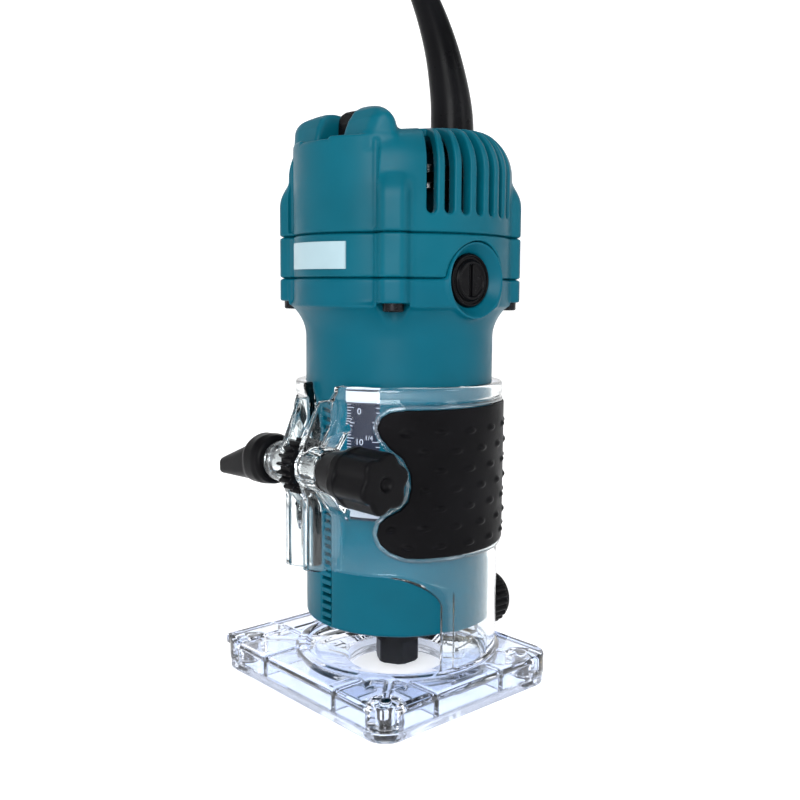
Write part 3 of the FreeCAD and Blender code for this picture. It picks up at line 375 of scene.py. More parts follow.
def polygon(u, v, points):
    """Exact distance to a flat polygon."""
    shape = np.broadcast(u, v).shape
    nearest = np.full(shape, 1e9)
    inside = np.zeros(shape, bool)
    for (ax, ay), (bx, by) in zip(points, points[1:] + points[:1]):
        ex, ey = bx - ax, by - ay
        wx, wy = u - ax, v - ay
        t = np.clip((wx * ex + wy * ey) / (ex * ex + ey * ey), 0, 1)
        nearest = np.minimum(nearest, np.hypot(wx - ex * t, wy - ey * t))
        crosses = (ay > v) != (by > v)
        rise = ey if abs(ey) > 1e-9 else 1e-9
        inside ^= crosses & (wx < ex * wy / rise)
    return np.where(inside, -nearest, nearest)


def link_mesh(name, mesh, material, body, stands_for=()):
    piece = bpy.data.objects.new(name, mesh)
    scene.collection.objects.link(piece)
    mesh.materials.append(MATERIALS[material])
    if body:
        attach(piece, body)
    for node in stands_for:
        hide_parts(node)
    return piece


def carve(name, field, low, high, step, material, body, stands_for=(), place=None):
    """Meshes a distance field between two corners as a smooth closed surface."""
    axes = [np.arange(a - 2 * step, b + 3 * step, step) for a, b in zip(low, high)]
    x, y, z = axes[0][:, None, None], axes[1][None, :, None], axes[2][None, None, :]
    values = np.broadcast_to(field(x, y, z), [len(a) for a in axes])
    values = np.ascontiguousarray(np.clip(values, -3 * step, 3 * step), dtype=np.float32)
    grid = openvdb.FloatGrid(3 * step)
    grid.copyFromArray(values)
    points, quads = grid.convertToQuads(0.0)
    points = (points * step + np.array([a[0] for a in axes])) * MM
    a, b, c = (points[quads[:, k]] for k in range(3))
    if np.einsum("ij,ij->i", a, np.cross(b, c)).sum() < 0:
        quads = quads[:, ::-1]
    mesh = bpy.data.meshes.new(name)
    mesh.vertices.add(len(points))
    mesh.vertices.foreach_set("co", points.astype(np.float32).ravel())
    mesh.loops.add(quads.size)
    mesh.loops.foreach_set("vertex_index", quads.astype(np.int32).ravel())
    mesh.polygons.add(len(quads))
    mesh.polygons.foreach_set("loop_start", np.arange(0, quads.size, 4, dtype=np.int32))
    mesh.update(calc_edges=True)
    mesh.validate()
    if place is not None:
        mesh.transform(place)
    mesh.shade_smooth()
    return link_mesh(name, mesh, material, body, stands_for)


# ---- head ----
WEDGE = math.radians(36.0)


def wedge(x, y):
    """Negative in front of the head, between the two planes where the barrel meets the sides."""
    return np.abs(x) * math.cos(WEDGE) + y * math.sin(WEDGE)


def barrel_plan(x, y):
    return np.hypot(x, y - BARREL_Y) - BARREL_R


def head_plan(x, y):
    sides = soft_max(np.hypot(x, y) - HEAD_R, -wedge(x, y), 0.8)
    return np.minimum(sides, barrel_plan(x, y))


def lug_axes(x, y):
    return (np.abs(x) + np.abs(y)) * math.sqrt(0.5), (np.abs(x) - np.abs(y)) * math.sqrt(0.5)


def lug_plan(x, y):
    along, across = lug_axes(x, y)
    middle = (26 + LUG_REACH) / 2
    return square(along - middle, across, (LUG_REACH - 26) / 2, LUG_HALF, 2.8)


def slice_of_head(x, y, z, low, high):
    plan = near(head_plan(x, y), lug_plan(x, y), k=2.6)
    full = push(plan, z, low + 0.3, high - 0.3, 0.5)
    core = push(plan + 0.9, z, low, high, 0.1)
    return np.minimum(full, core)


def screw_posts(x, y, r):
    return np.hypot(np.abs(x) - SCREW_AT, np.abs(y) - SCREW_AT) - r


def dome(x, y, z, r, top, shoulder):
    return push(np.hypot(x, y) - r, z, 100, top, shoulder)


GUARD_TOP_Z = 195.3
GUARD_SIDE = [(-31.2, 180), (-30.8, 185.5), (-29.4, 189.8), (-27.4, 192.8), (-24.8, 194.6),
              (-21.8, 195.3), (-19, 195.3), (-16.2, 194.4), (-13.4, 192.4), (-10.8, 189.8),
              (-8, 187.6), (-5, 180)]
GUARD_TURN = math.radians(46.0)
BARREL_LIP = 184.5
DOME_TILT = 0.105


def behind(x, y):
    """Negative in front of the planes where the barrel goes into the sides of the head."""
    return np.abs(x) * math.cos(GUARD_TURN) + y * math.sin(GUARD_TURN)


def guards(x, y, z):
    """Two hills beside the switch, standing on the barrel."""
    barrel = push(barrel_plan(x, y), z, 165, GUARD_TOP_Z, 6.5)
    slope = (behind(x, y) + 7.0) * 0.62 - (GUARD_TOP_Z - z) * 0.78
    sides = soft_max(behind(x, y), slope, 3.0)
    hill = soft_max(soft_max(barrel, sides, 2.0), polygon(y, z, GUARD_SIDE), 2.0)
    return np.maximum(hill, 172 - z)


def vent_slots(x, y, z):
    """Seven upright slots through each side, running over the shoulder."""
    angle = np.degrees(np.arctan2(y, np.abs(x)))
    turn = np.radians(angle - 9.0 * np.clip(np.round(angle / 9.0), -3, 3))
    r = np.hypot(x, y)
    across = r * np.sin(turn)
    along = r * np.cos(turn)
    low = np.hypot(across, np.minimum(z - 162.2, 0)) - 1.65
    return np.maximum(low, 25.4 - along)


def cover_field(x, y, z):
    front = wedge(x, y)
    inner = np.hypot(x, y + 4) - 25.0
    shell = soft_max(dome(x, y, z, HEAD_R, TOP_Z, SHOULDER), np.minimum(-front, inner), 0.8)
    barrel = push(np.maximum(barrel_plan(x, y), behind(x, y)), z, 120, BARREL_LIP, 0.8)
    tilt = DOME_TILT * (y + 14.7)
    shell = soft_max(shell, z - 187.6 - tilt, 3.0)
    body = near(shell, barrel, k=0.8)
    body = near(body, guards(x, y, z), k=1.4)
    along, across = lug_axes(x, y)
    arch = np.where(z > 170, np.hypot(across, z - 170), np.abs(across))
    slope = (along - 38.2) * 0.5 + (z - 172.0) * 0.87
    lug = soft_max(square(along - 33.75, arch, 7.75, LUG_HALF, 2.8), slope, 5.0)
    body = near(body, lug, k=2.6)
    foot = push(near(head_plan(x, y), lug_plan(x, y), k=2.6) + 0.9, z, SEAM_2, SEAM_2 + 2, 0.1)
    body = np.minimum(soft_max(body, SEAM_2 + 0.3 - z, 0.7), foot)
    hollow = soft_max(dome(x, y, z, CAVITY_R, TOP_Z - 3.2, 14.0), z - 184.9 - tilt, 2.0)
    body = cut(body, np.maximum(hollow, -33.0 - y), k=0.4)
    body = np.minimum(body, block(x, y, z, -14.5, 14.5, -29.0, -3.4, 181.4, 186.4))
    seat = np.maximum(block(x, y, z, -14.5, 14.5, -33, -4, 181.4, 184.4), barrel_plan(x, y))
    body = np.minimum(body, seat)
    floor = 184.3 + 0.03 * np.minimum(y + 24.4, 0)
    scoop = np.maximum(np.abs(x) - CHANNEL_X - 0.16 * np.maximum(z - 187, 0), floor - z)
    scoop = np.maximum(scoop, y + 5.5)
    window = block(x, y, z, -5.9, 5.9, -28.4, -7.6, 178, 192, 1.5)
    under = block(x, y, z, -13, 13, -32, -4, 170, 181.4)
    groove = np.hypot(np.abs(x) - 22.0, y + 30.1) - 1.15
    groove = np.maximum(groove, np.abs(z - 169.5) - 13.5)
    body = cut(body, scoop, k=1.6)
    body = cut(body, window, under, k=0.5)
    body = cut(body, groove, k=0.7)
    body = cut(body, vent_slots(x, y, z), k=0.9)
    body = cut(body, np.maximum(screw_posts(x, y, 1.85), z - 169), k=0.3)
    return cut(body, rod(x, y - CORD_Y, z, 8.35, 180, 200), k=0.6)


def ring_field(x, y, z):
    body = slice_of_head(x, y, z, SEAM_1, SEAM_2)
    body = cut(body, rod(x, y, z, CAVITY_R, 130, 170), k=0.4)
    spider = tube(x, y, z, CAVITY_R + 0.6, 9.52, 150.8, SEAM_2)
    body = np.minimum(body, np.minimum(spider, tube(x, y, z, 12.0, 9.52, 150.8, 158.2)))
    boss = rod(y, z - BRUSH_Z, np.abs(x), 12.6, 20, 50)
    return cut(body, boss, np.maximum(screw_posts(x, y, 1.95), 138 - z), k=0.5)


def housing_field(x, y, z):
    r = np.hypot(x, y)
    rise = np.clip((z - FLARE_Z) / (HEAD_Z - FLARE_Z), 0, 1)
    turn = np.degrees(np.arctan2(x, -y))
    label = soft_max(np.abs(turn - 27.5) - 10.3, (np.abs(z - 84.1) - 22.3) * 1.7, 0.5)
    pocket = 0.3 * np.clip(-label, 0, 1)
    barrel = push(r - TUBE_R - 5.1 * rise ** 2.2 + pocket, z, TUBE_Z, HEAD_Z + 1, 1.2)
    body = near(barrel, slice_of_head(x, y, z, HEAD_Z - 0.3, SEAM_1), k=1.2)
    outside = SCREW_AT * 1.045
    screw_seats = np.hypot(np.abs(x) - outside, np.abs(y) - outside) - 5.2
    body = cut(body, np.maximum(screw_seats, z - 132.7), k=0.8)
    body = cut(body, rod(x, y, z, 30.0, 36.5, 133.5), rod(x, y, z, CAVITY_R, 133.5, 150), k=0.4)
    body = cut(body, rod(x, y, z, 14.02, 27.5, 40), rod(x, y, z, 9.0, 15, 30), k=0.3)
    angle = np.degrees(np.arctan2(y, x))
    port = np.abs((angle % 60) - 30) * math.radians(1) * r - 9.2
    body = cut(body, np.maximum(push(np.maximum(r - 28, 20 - r), z, 20, 37, 0.5), port), k=0.6)
    ax = np.abs(x)
    br = np.hypot(y, z - BRUSH_Z)
    boss = push(br - 12.35, ax, 30, 37.4, 0.7)
    body = near(body, boss, k=1.6)
    dish = np.maximum(br - 8.8 - (ax - 33.4) * 0.80, 33.4 - ax)
    body = cut(body, dish, k=0.7)
    body = cut(body, np.maximum(br - 8.65, 31 - ax), np.maximum(br - 6.55, 20 - ax), k=0.3)
    rack = block(x, y, z, -2.45, 2.45, -36, -29.9, 24.0, 100.0, 0.2)
    return cut(body, rack, k=0.3)


# ---- base, seen through ----
def corner_screws(x, y):
    """Distance from the axis of the nearest of the plate's four screws."""
    return np.hypot(np.abs(x) - CORNER_X, np.abs(y - PLATE_Y) - CORNER_Y)


def base_ribs(x, y):
    """Flat distance to the ribs and screw posts under the plate."""
    ax = np.abs(x)
    front = np.maximum(np.abs(ax * 38 + y * 37) / 53.04 - 0.9, y)
    back = np.maximum(np.abs(ax * 25.5 - y * 37) / 44.94 - 0.9, -y)
    upright = np.maximum(np.abs(ax - 19) - 0.9, y + 17)
    across = np.maximum(np.minimum(np.abs(y + 22), np.abs(y - 8)) - 0.9, 17 - ax)
    return near(np.minimum(front, back), upright, across, corner_screws(x, y) - 5, k=1.0)


def ear_outline(y, z):
    return polygon(y, z, [(-33.2, 105.8), (-39.0, 106.4), (-40.2, 100.5), (-46.3, 86.5), (-46.0, 73.5),
                          (-44.8, 70.0), (-44.8, 46.0), (-38.5, 43.9), (-33.2, 43.9)])


def web(y, z, corners):
    return polygon(y, z, [(SHAFT_Y + a, SHAFT_Z + b) for a, b in corners])


def base_field(x, y, z):
    r = np.hypot(x, y)
    ax = np.abs(x)
    plate = push(square(x, y - PLATE_Y, 45, 39.75, 8), z, 3, PLATE_TOP, 1.0)
    step = block(ax, y, z, 16, 43.8, -44.8, -24.5, 8, 11.6, 0.6)
    hollow = push(square(x, y - PLATE_Y, 42.4, 37.15, 5.4), z, 2, 8.4, 0.5)
    hollow = soft_max(hollow, -base_ribs(x, y), 0.8)
    hollow = np.maximum(hollow, -np.maximum(np.maximum(r - SLEEVE_R, 31 - r), -5 - y))
    funnel = np.interp(r, [BIT_R, 33], [4.8, PLATE_TOP])
    body = cut(np.minimum(plate, step), hollow, np.maximum(r - 33, z + 2.2 - funnel), k=0.4)
    body = near(body, rod(x, y, z, SLEEVE_R, 5, SLEEVE_TOP, 0.8), k=1.6)
    body = near(body, rod(x, y, z, SLEEVE_R + 1, 101.2, SLEEVE_TOP, 0.9), k=0.5)
    body = near(body, block(x, y, z, -9.5, 9.5, 28, 38.4, 3, 26.5, 2.0), k=1.4)
    end = np.where(x > 0, 14.0, 13.5)
    shaft = np.hypot(y - SHAFT_Y, z - SHAFT_Z)
    ears = push(ear_outline(y, z), ax, GAP, 6.1, 0.5)
    ears = near(ears, push(shaft - 6.9, ax, GAP, end, 0.7), k=0.8)
    webs = np.minimum(web(y, z, [(1.5, 6.6), (3.5, 5.6), (11, 16.5), (11, 20)]),
                      web(y, z, [(-1, -6.7), (1.8, -6.5), (11, -17), (11, -21)]))
    webs = np.minimum(webs, web(y, z, [(4, -1.2), (4, 1.2), (11, 1.2), (11, -1.2)]))
    ears = near(ears, push(webs, ax, GAP, end, 0.4), k=0.8)
    body = near(body, ears, k=1.0)
    body = cut(body, np.maximum(r - BORE_R, funnel - z), np.maximum(r - BIT_R, z - 12), k=0.4)
    window = square(x, z - 22, 33, 21.9, 10.5)
    body = cut(body, np.maximum(np.maximum(window, PLATE_TOP - z), y + 5), k=1.0)
    half = np.interp(z, [90.5, 100.6, 104.0, 108], [GAP, 5.2, 7.6, 7.6])
    mouth = np.maximum(np.maximum(ax - half, y + 20), 90.5 - z)
    slit = np.maximum(np.maximum(ax - GAP, y + 20), 40 - z)
    body = cut(body, slit, k=0.4)
    body = cut(body, mouth, k=0.8)
    body = cut(body, shaft - 3.06, k=0.4)
    body = cut(body, np.maximum(np.hypot(x, z - GUIDE_Z) - 4.0, 33.6 - y), k=0.4)
    return cut(body, np.maximum(corner_screws(x, y) - 2.02, z - 9.6), k=0.3)


def sub_base_field(x, y, z):
    body = push(square(x, y - PLATE_Y, 44.7, 39.45, 7.7), z, 0, 3, 0.5)
    hole = corner_screws(x, y)
    return cut(body, np.hypot(x, y) - BIT_R, hole - 2.15, hole - 4.2 + z * 0.93, k=0.3)


GRIP_EDGE = [(180, 99), (52, 99), (43.6, 98.3), (39.1, 96.5), (37.1, 93.2), (39, 90), (43.8, 86.6),
             (50.3, 83.3), (54, 78.5), (54.5, 74), (53, 69.5), (49, 66.8), (42.6, 64.6), (38.4, 62.2),
             (37.0, 58.6), (39, 55.5), (44, 52.8), (52, 50.9), (60, 50.6), (180, 50.6)]


def grip_field(x, y, z):
    r = np.hypot(x, y)
    turn = np.degrees(np.arctan2(np.abs(x), -y))
    around = turn * math.radians(36)
    edge = polygon(around[:, :, 0][:, :, None], z, [(a * math.radians(36), h) for a, h in GRIP_EDGE])
    row = np.round((z - 54.4) / 6.2)
    column = (around - 22) / 11 + 0.5 * (row % 2)
    du = (column - np.round(column)) * 11
    dz = z - 54.4 - row * 6.2
    bump = (np.sqrt((du / 2.1) ** 2 + (dz / 1.05) ** 2 + ((r - 36.7) / 0.95) ** 2) - 1) * 0.95
    band = push(edge, r, 35.33, 36.9, 0.6)
    return near(band, soft_max(bump, edge + 3.0, 0.6), k=0.5)


def grip_rim_field(x, y, z):
    r = np.hypot(x, y)
    around = (np.degrees(np.arctan2(np.abs(x), -y)) * math.radians(36))
    edge = polygon(around[:, :, 0][:, :, None], z, [(a * math.radians(36), h) for a, h in GRIP_EDGE])
    return push(np.abs(edge - 0.85) - 0.6, r, 35.2, 36.5, 0.45)


# ---- knobs and small parts ----
def knob_field(x, y, z):
    v, w = y - SHAFT_Y, z - SHAFT_Z
    flat = np.hypot(v, w) - 8.0
    for k in range(6):
        angle = math.radians(60 * k + 15)
        flat = soft_min(flat, np.hypot(v - 6.5 * math.cos(angle), w - 6.5 * math.sin(angle)) - 3.1, 1.4)
    crown = push(flat, x, 23, 41, 1.3)
    neck = np.maximum(np.hypot(v, w) - 6.4 - (x - 14.3) * 0.2, np.maximum(14.3 - x, x - 26))
    body = near(crown, neck, k=1.5)
    body = cut(body, rod(v, w, x, 3.0, 10, 24), k=0.2)
    return cut(body, np.sqrt(v ** 2 + w ** 2 + (x - 42.0) ** 2) - 2.6, k=0.5)


def lever_field(x, y, z):
    v, w = y - SHAFT_Y, z - SHAFT_Z
    t = np.clip((x + 43) / 25, 0, 1)
    front, back = -6.0 - 1.6 * t, -1.6 + 8.4 * t
    low, high = -8.0 + 0.4 * t, -2.6 + 10.2 * t
    corner = 1.7 + 3.1 * t
    a = np.abs(v - (front + back) / 2) - (back - front) / 2 + corner
    b = np.abs(w - (low + high) / 2) - (high - low) / 2 + corner
    arm = np.hypot(np.maximum(a, 0), np.maximum(b, 0)) + np.minimum(np.maximum(a, b), 0) - corner
    arm = push(arm, x, -43, -17.5, 1.3)
    body = near(arm, rod(v, w, x, 8.4, -24, -14.5, 1.6), k=2.5)
    return cut(body, rod(v, w, x, 5.3, -27, -13), k=0.3)


def guide_knob_field(x, y, z):
    w = z - GUIDE_Z
    r = np.hypot(x, w)
    turn = np.arctan2(w, x)
    step = math.radians(15)
    off = turn - np.round(turn / step) * step
    rib = np.hypot(r * np.cos(off) - 9.6, r * np.sin(off)) - 1.0
    body = near(push(r - 9.7, y, 39.4, GUIDE_END, 1.4), push(rib, y, 40.4, 48.8, 0.6), k=0.5)
    return cut(body, rod(x, w, y, 2.5, 35, 47), rod(x, w, y, 5.5, 50.1, 52), k=0.5)


def rocker_field(x, y, z):
    v, w = y - ROCKER_Y, z - ROCKER_Z
    outline = polygon(v, w, [(-4.6, -4.8), (-5.6, -1), (-5.4, 4.4), (-4.9, 7.6), (-3.9, 9.0),
                             (-2.4, 9.3), (-0.8, 8.6), (1.4, 6.4), (4.6, 4.4), (8.4, 3.1),
                             (8.6, -1), (6.4, -5)])
    across = square(x, w + 1, 5.6, 10.2, 3.6)
    return soft_max(soft_max(outline, across, 1.6), np.hypot(v, w) - 10.4, 1.0)


def cap_field(side):
    def field(x, y, z):
        ax = x * side
        w = z - BRUSH_Z
        r = np.hypot(y, w)
        disc = push(r - 8.6, ax, 31.1, 34.6, 0.9)
        disc = cut(disc, np.maximum(np.abs(r - 7.2) - 0.45, 33.9 - ax), k=0.4)
        rim = push(np.abs(r - 5.75) - 0.5, ax, 33, 35.2, 0.25)
        slot = block(y, w, ax, -0.8, 0.8, -5.0, 5.0, 33.2, 40, 0.2)
        return cut(near(disc, rim, k=0.4), slot, k=0.4)
    return field


PIECES = [
    ("top_cover_moulded", cover_field, (-42, -42, 154), (42, 42, 196.5), 0.4, "teal_plastic", "motor",
     "top_cover"),
    ("middle_ring_moulded", ring_field, (-42, -42, 140), (42, 42, 159), 0.4, "teal_plastic", "motor",
     "middle_ring"),
    ("motor_housing_moulded", housing_field, (-42, -42, 22), (42, 42, 153), 0.5, "tube_teal", "motor",
     "motor_housing"),
    ("base_moulded", base_field, (-45, -47, 2.8), (45, 38.6, 107), 0.4, "base_clear", "base",
     "trimmer_base"),
    ("sub_base_moulded", sub_base_field, (-45, -46, 0), (45, 34, 3), 0.4, "sub_base_clear", "base",
     "sub_base"),
    ("grip_moulded", grip_field, (-37.6, -37.6, 50), (37.6, 37.6, 99.6), 0.35, "rubber_grip", "base",
     "rubber_grip"),
    ("grip_rim_moulded", grip_rim_field, (-37, -37, 48), (37, 37, 101), 0.35, "rim_clear", "base", None),
    ("knob_moulded", knob_field, (14, -52, 69), (41.2, -31, 90), 0.25, "black_plastic", "height_screw",
     "adjusting_knob"),
    ("lever_moulded", lever_field, (-43.2, -51, 70), (-14, -32, 89), 0.25, "black_plastic", "lever",
     "lever_nut"),
    ("guide_knob_moulded", guide_knob_field, (-11, 39, 6), (11, 51, 28), 0.25, "black_plastic",
     "guide_screw", "guide_clamp_knob"),
    ("rocker_moulded", rocker_field, (-6, -27, 180), (6, -8, 196.5), 0.2, "switch_black", "rocker",
     "switch_rocker"),
    ("cap_right_moulded", cap_field(1), (31, -9, 131), (37.4, 9, 149), 0.2, "switch_black", "cap_right",
     "brush_cap_right"),
    ("cap_left_moulded", cap_field(-1), (-37.4, -9, 131), (-31, 9, 149), 0.2, "switch_black", "cap_left",
     "brush_cap_left"),
]
for name, field, low, high, step, material, body, node in PIECES:
    carve(name, field, low, high, step, material, body, [node] if node else [])


# ---- rack ----
PITCH = 0.9 * math.pi


def rack_field(x, y, z):
    wave = np.abs((z - SHAFT_Z) / PITCH - np.round((z - SHAFT_Z) / PITCH)) * PITCH
    tooth = soft_max(block(x, y, z, -2.4, 2.4, -32.5, -29.2, 24.2, 99.8, 0.1), 0.62 - wave, 0.2)
    return np.minimum(tooth, block(x, y, z, -2.4, 2.4, -29.9, -28.9, 24.2, 99.8, 0.1))


carve("rack_moulded", rack_field, (-2.6, -33, 24), (2.6, -28.6, 100), 0.2, "tube_teal", "motor")


# ---- scale label ----
LABEL_MID = math.radians(27.5)
LABEL_HALF = 5.75
LABEL_LOW = 62.0
LABEL_HIGH = 104.4


def wrapped(name, shapes, radius, thick, material):
    """Thin boxes wrapped on the tube, each given as across, height, half width and half height."""
    bm = bmesh.new()
    for u, v, half_u, half_v in shapes:
        parts = max(1, int(half_u / 0.8))
        columns = []
        for k in range(parts + 1):
            a = LABEL_MID + (u - half_u + 2 * half_u * k / parts) / TUBE_R
            columns.append([bm.verts.new((r * math.sin(a) * MM, -r * math.cos(a) * MM, h * MM))
                            for r in (radius, radius + thick) for h in (v - half_v, v + half_v)])
        for first, second in zip(columns, columns[1:]):
            for m, n in ((0, 1), (1, 3), (3, 2), (2, 0)):
                bm.faces.new((first[m], first[n], second[n], second[m]))
        for column in (columns[0], columns[-1]):
            bm.faces.new((column[0], column[1], column[3], column[2]))
    bmesh.ops.recalc_face_normals(bm, faces=bm.faces)
    mesh = bpy.data.meshes.new(name)
    bm.to_mesh(mesh)
    bm.free()
    return link_mesh(name, mesh, material, "motor")


def number(name, text, u, v, size):
    """Flat number on the label, wrapped round the tube."""
    font = bpy.data.curves.new(name, "FONT")
    font.body = text
    font.size = size
    font.extrude = 0.012
    font.align_x = "CENTER"
    source = bpy.data.objects.new(name + "_text", font)
    scene.collection.objects.link(source)
    bpy.context.view_layer.update()
    mesh = bpy.data.meshes.new_from_object(source)
    bpy.data.objects.remove(source)
    for vertex in mesh.vertices:
        a = LABEL_MID + (u + vertex.co.x) / TUBE_R
        r = TUBE_R - 0.11 + vertex.co.z
        vertex.co = (r * math.sin(a) * MM, -r * math.cos(a) * MM, (v + vertex.co.y) * MM)
    link_mesh(name, mesh, "print_white", "motor")


film = (0, (LABEL_LOW + LABEL_HIGH) / 2, LABEL_HALF, (LABEL_HIGH - LABEL_LOW) / 2)
label = wrapped("scale_label_film", [film], TUBE_R - 0.28, 0.14, "label_dark")
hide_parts("scale_label")
marks = [(0, 102.9, LABEL_HALF, 1.4), (0, 64.2, LABEL_HALF, 1.2)]
for k in range(32):
    long = 1.3 if k % 5 == 0 else 0.75
    marks.append((-LABEL_HALF + long, 69.0 + k * 1.0, long, 0.11))
for k in range(20):
    long = 1.3 if k % 4 == 0 else 0.7
    marks.append((LABEL_HALF - long, 69.0 + k * 1.5875, long, 0.11))
wrapped("scale_marks", marks, TUBE_R - 0.135, 0.03, "print_white")
for k, text in enumerate(("0", "10", "20", "30")):
    number("scale_number_" + text, text, -1.3, 97.7 - 10 * k - 0.8, 2.9)
for text, v in (("1/4", 88.6), ("1/2", 82.2), ("3/4", 75.9)):
    number("scale_number_" + text.replace("/", "_"), text, 2.0, v, 2.2)


# ---- cord ----
GUARD_PATH = [(0, 25, 186), (0, 25, 198), (-1.8, 24.7, 209.5), (-4.9, 24.2, 222), (-9.8, 23.4, 235)]
CORD_ROUTE = [(-15.2, 22.5, 246), (-20.6, 21.9, 257), (-29.2, 24.3, 270.5), (-40.6, 32.6, 280.5),
              (-52, 45.4, 284), (-60.2, 60.2, 280), (-65.1, 72.7, 269.5), (-66.5, 80.8, 253.5),
              (-64.4, 85.3, 232), (-60.8, 84.5, 203), (-52.4, 73.6, 162), (-42.6, 59.2, 118),
              (-34.4, 47.6, 76), (-30.4, 42.6, 48), (-29.0, 41.6, 28.8), (-29.5, 44.6, 17.2),
              (-30.6, 52.2, 8.1), (-32.2, 63, 3.05), (-34.6, 75.5, 3.05), (-40.6, 87.0, 3.05),
              (-49.6, 96.0, 3.05)]
TAIL = [(20.5, -16.0, 18.4), (25.0, -6.5, 18.6), (25.6, 4.5, 20.5), (21.3, 14.6, 23.6),
        (13.0, 21.6, 26.8), (5.0, 24.0, 28.3), (-2.5, 24.0, 28.3)]
LAYERS = (38.0, 32.0, 26.0)
LAYER_TURN = 920.7
COIL_FROM = 40.0
COIL_LOW = 3.05
COIL_TOP = 18.4
MOVE_IN = 40.0
PER_TURN = 16


def coil_points():
    """Turns that climb the outside, go down the middle layer and climb the inside."""
    count = int(len(LAYERS) * LAYER_TURN / 360 * PER_TURN)
    points = []
    for k in range(1, count):
        turn = k * len(LAYERS) * LAYER_TURN / count
        layer = int(turn // LAYER_TURN)
        into = turn - layer * LAYER_TURN
        radius, rest = LAYERS[layer], MOVE_IN if layer else 0.0
        if into < rest:
            radius += (LAYERS[layer - 1] - radius) * (1 - into / rest)
        share = max(0.0, (into - rest) / (LAYER_TURN - rest))
        if layer == 1:
            share = 1 - share
        angle = math.radians(COIL_FROM + turn)
        radius *= 1.0195
        points.append((COIL_X + radius * math.cos(angle), COIL_Y + radius * math.sin(angle),
                       COIL_LOW + (COIL_TOP - COIL_LOW) * share))
    return points


def tail_points():
    c, s = math.cos(PLUG_TURN), math.sin(PLUG_TURN)
    return [(COIL_X + x * c - y * s, COIL_Y + x * s + y * c, z) for x, y, z in TAIL]


def line_of(points):
    """Points along the smooth spline whose control points are given."""
    curve = bpy.data.curves.new("route", "CURVE")
    curve.dimensions = "3D"
    curve.resolution_u = 8
    spline = curve.splines.new("NURBS")
    spline.points.add(len(points) - 1)
    for point, place in zip(spline.points, points):
        point.co = (*(MM * c for c in place), 1)
    spline.order_u = 3
    spline.use_endpoint_u = True
    route = bpy.data.objects.new("route", curve)
    scene.collection.objects.link(route)
    bpy.context.view_layer.update()
    mesh = bpy.data.meshes.new_from_object(route)
    line = [vertex.co.copy() for vertex in mesh.vertices]
    bpy.data.objects.remove(route)
    return line


def sweep(name, line, radius, sides=14):
    """A closed tube along a line, in metres. radius is a number or a function of the distance along it."""
    bm = bmesh.new()
    side = Vector((1, 0, 0))
    gone, rings = 0.0, []
    for k, point in enumerate(line):
        if k:
            gone += (point - line[k - 1]).length
        ahead = (line[min(k + 1, len(line) - 1)] - line[max(k - 1, 0)]).normalized()
        side = (side - ahead * side.dot(ahead)).normalized()
        other = ahead.cross(side)
        r = radius(gone) if callable(radius) else radius
        rings.append([bm.verts.new(point + (side * math.cos(a) + other * math.sin(a)) * r)
                      for a in (math.tau * m / sides for m in range(sides))])
    for first, second in zip(rings, rings[1:]):
        for m in range(sides):
            n = (m + 1) % sides
            bm.faces.new((first[m], first[n], second[n], second[m]))
    bm.faces.new(rings[0][::-1])
    bm.faces.new(rings[-1])
    mesh = bpy.data.meshes.new(name)
    bm.to_mesh(mesh)
    bm.free()
    mesh.shade_smooth()
    return mesh


cord_line = line_of(GUARD_PATH + CORD_ROUTE + coil_points() + tail_points())
cord = link_mesh("mains_cord", sweep("mains_cord", cord_line, CORD_R * MM), "cord_rubber", None,
                 ["cord_lead", "cord_coil", "cord_tail"])

GUARD_AT = (0, 12, 23.6, 36.5, 50.4, 62.6)
GUARD_RADII = (7.8, 7.6, 6.9, 6.1, 5.3, 4.6)
GUARD_TIP = 62.3         # from here on the strain relief closes in on the cord
GUARD_TIP_R = 3.4
GUARD_TOP = 0.2465       # where it ends, in metres


def guard_radius(gone):
    """Radius of the strain relief, in metres, this far along it."""
    gone /= MM
    if gone > GUARD_TIP:
        return GUARD_TIP_R * MM
    return float(np.interp(gone, GUARD_AT, GUARD_RADII)) * MM


guard_line = [p for p in line_of(GUARD_PATH + CORD_ROUTE[:2]) if p.z < GUARD_TOP]
guard = link_mesh("cord_guard_moulded", sweep("cord_guard_moulded", guard_line, guard_radius, 32),
                  "cord_rubber", "motor", ["cord_guard"])


# ---- cad nodes that stay ----
for node in nodes.values():
    for material_slot in node.material_slots:
        material_slot.material = MATERIALS[material_slot.material.name.split(".")[0]]

for material_slot in nodes["base_screws"].material_slots:
    material_slot.material = MATERIALS["screw_dark"]

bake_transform(cord)


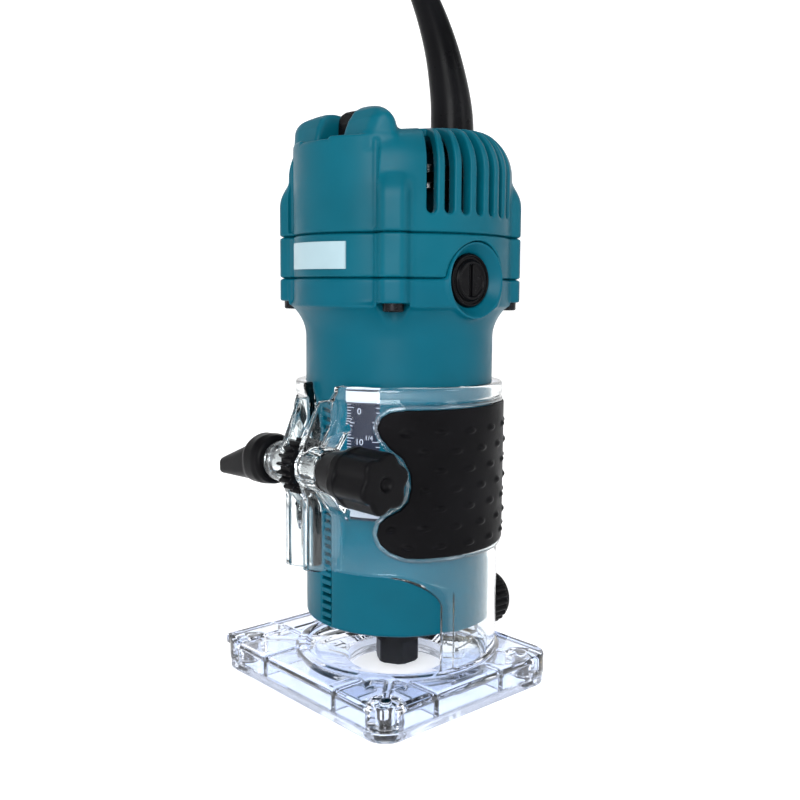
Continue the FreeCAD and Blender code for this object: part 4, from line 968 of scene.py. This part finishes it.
# ---- floor and light ----
def stage_floor():
    """A round sheet of paper whose rim curves up into a wall."""
    bm = bmesh.new()
    n = 96
    profile = [(0.6, 0.0), (1.4, 0.0), (2.2, 0.0), (2.7, 0.08), (3.05, 0.30), (3.25, 0.65), (3.3, 1.1),
               (3.3, 2.4)]
    rings = []
    for reach, z in profile:
        rings.append([bm.verts.new((reach * math.cos(a), reach * math.sin(a), z))
                      for a in (math.tau * k / n for k in range(n))])
    bm.faces.new(rings[0])
    for first, second in zip(rings, rings[1:]):
        for k in range(n):
            m = (k + 1) % n
            bm.faces.new((first[k], second[k], second[m], first[m]))
    bmesh.ops.recalc_face_normals(bm, faces=bm.faces)
    mesh = bpy.data.meshes.new("studio_floor")
    bm.to_mesh(mesh)
    bm.free()
    mesh.shade_smooth()
    floor = bpy.data.objects.new("studio_floor", mesh)
    scene.collection.objects.link(floor)
    n = Nodes("studio_paper")
    n.link(n.mix(n.noise(3.0), (0.90, 0.90, 0.905), (0.94, 0.94, 0.945)), n.bsdf.inputs["Base Color"])
    n.value("Roughness", 0.9)
    n.value("Specular IOR Level", 0.1)
    n.value("Emission Color", (1, 1, 1, 1))
    n.value("Emission Strength", 0.42)
    mesh.materials.append(n.material)


def area(name, place, target, size, power):
    data = bpy.data.lights.new(name, "AREA")
    data.shape = "RECTANGLE"
    data.size, data.size_y = size
    data.energy = power
    lamp = bpy.data.objects.new(name, data)
    scene.collection.objects.link(lamp)
    lamp.location = place
    lamp.rotation_euler = (Vector(target) - Vector(place)).to_track_quat("-Z", "Y").to_euler()


stage_floor()
world = bpy.data.worlds.new("studio")
world.use_nodes = True
world.node_tree.nodes["Background"].inputs["Color"].default_value = (1, 1, 1, 1)
world.node_tree.nodes["Background"].inputs["Strength"].default_value = 0.26
scene.world = world
scene.view_settings.view_transform = "Standard"
area("key", (0.72, -0.97, 0.58), (0, 0, 0.12), (0.6, 0.9), 17)
area("side", (1.2, 0.5, 0.7), (0, 0, 0.12), (0.4, 0.9), 4)
area("top", (-0.1, 0.1, 1.5), (0, 0, 0), (1.0, 1.0), 6)
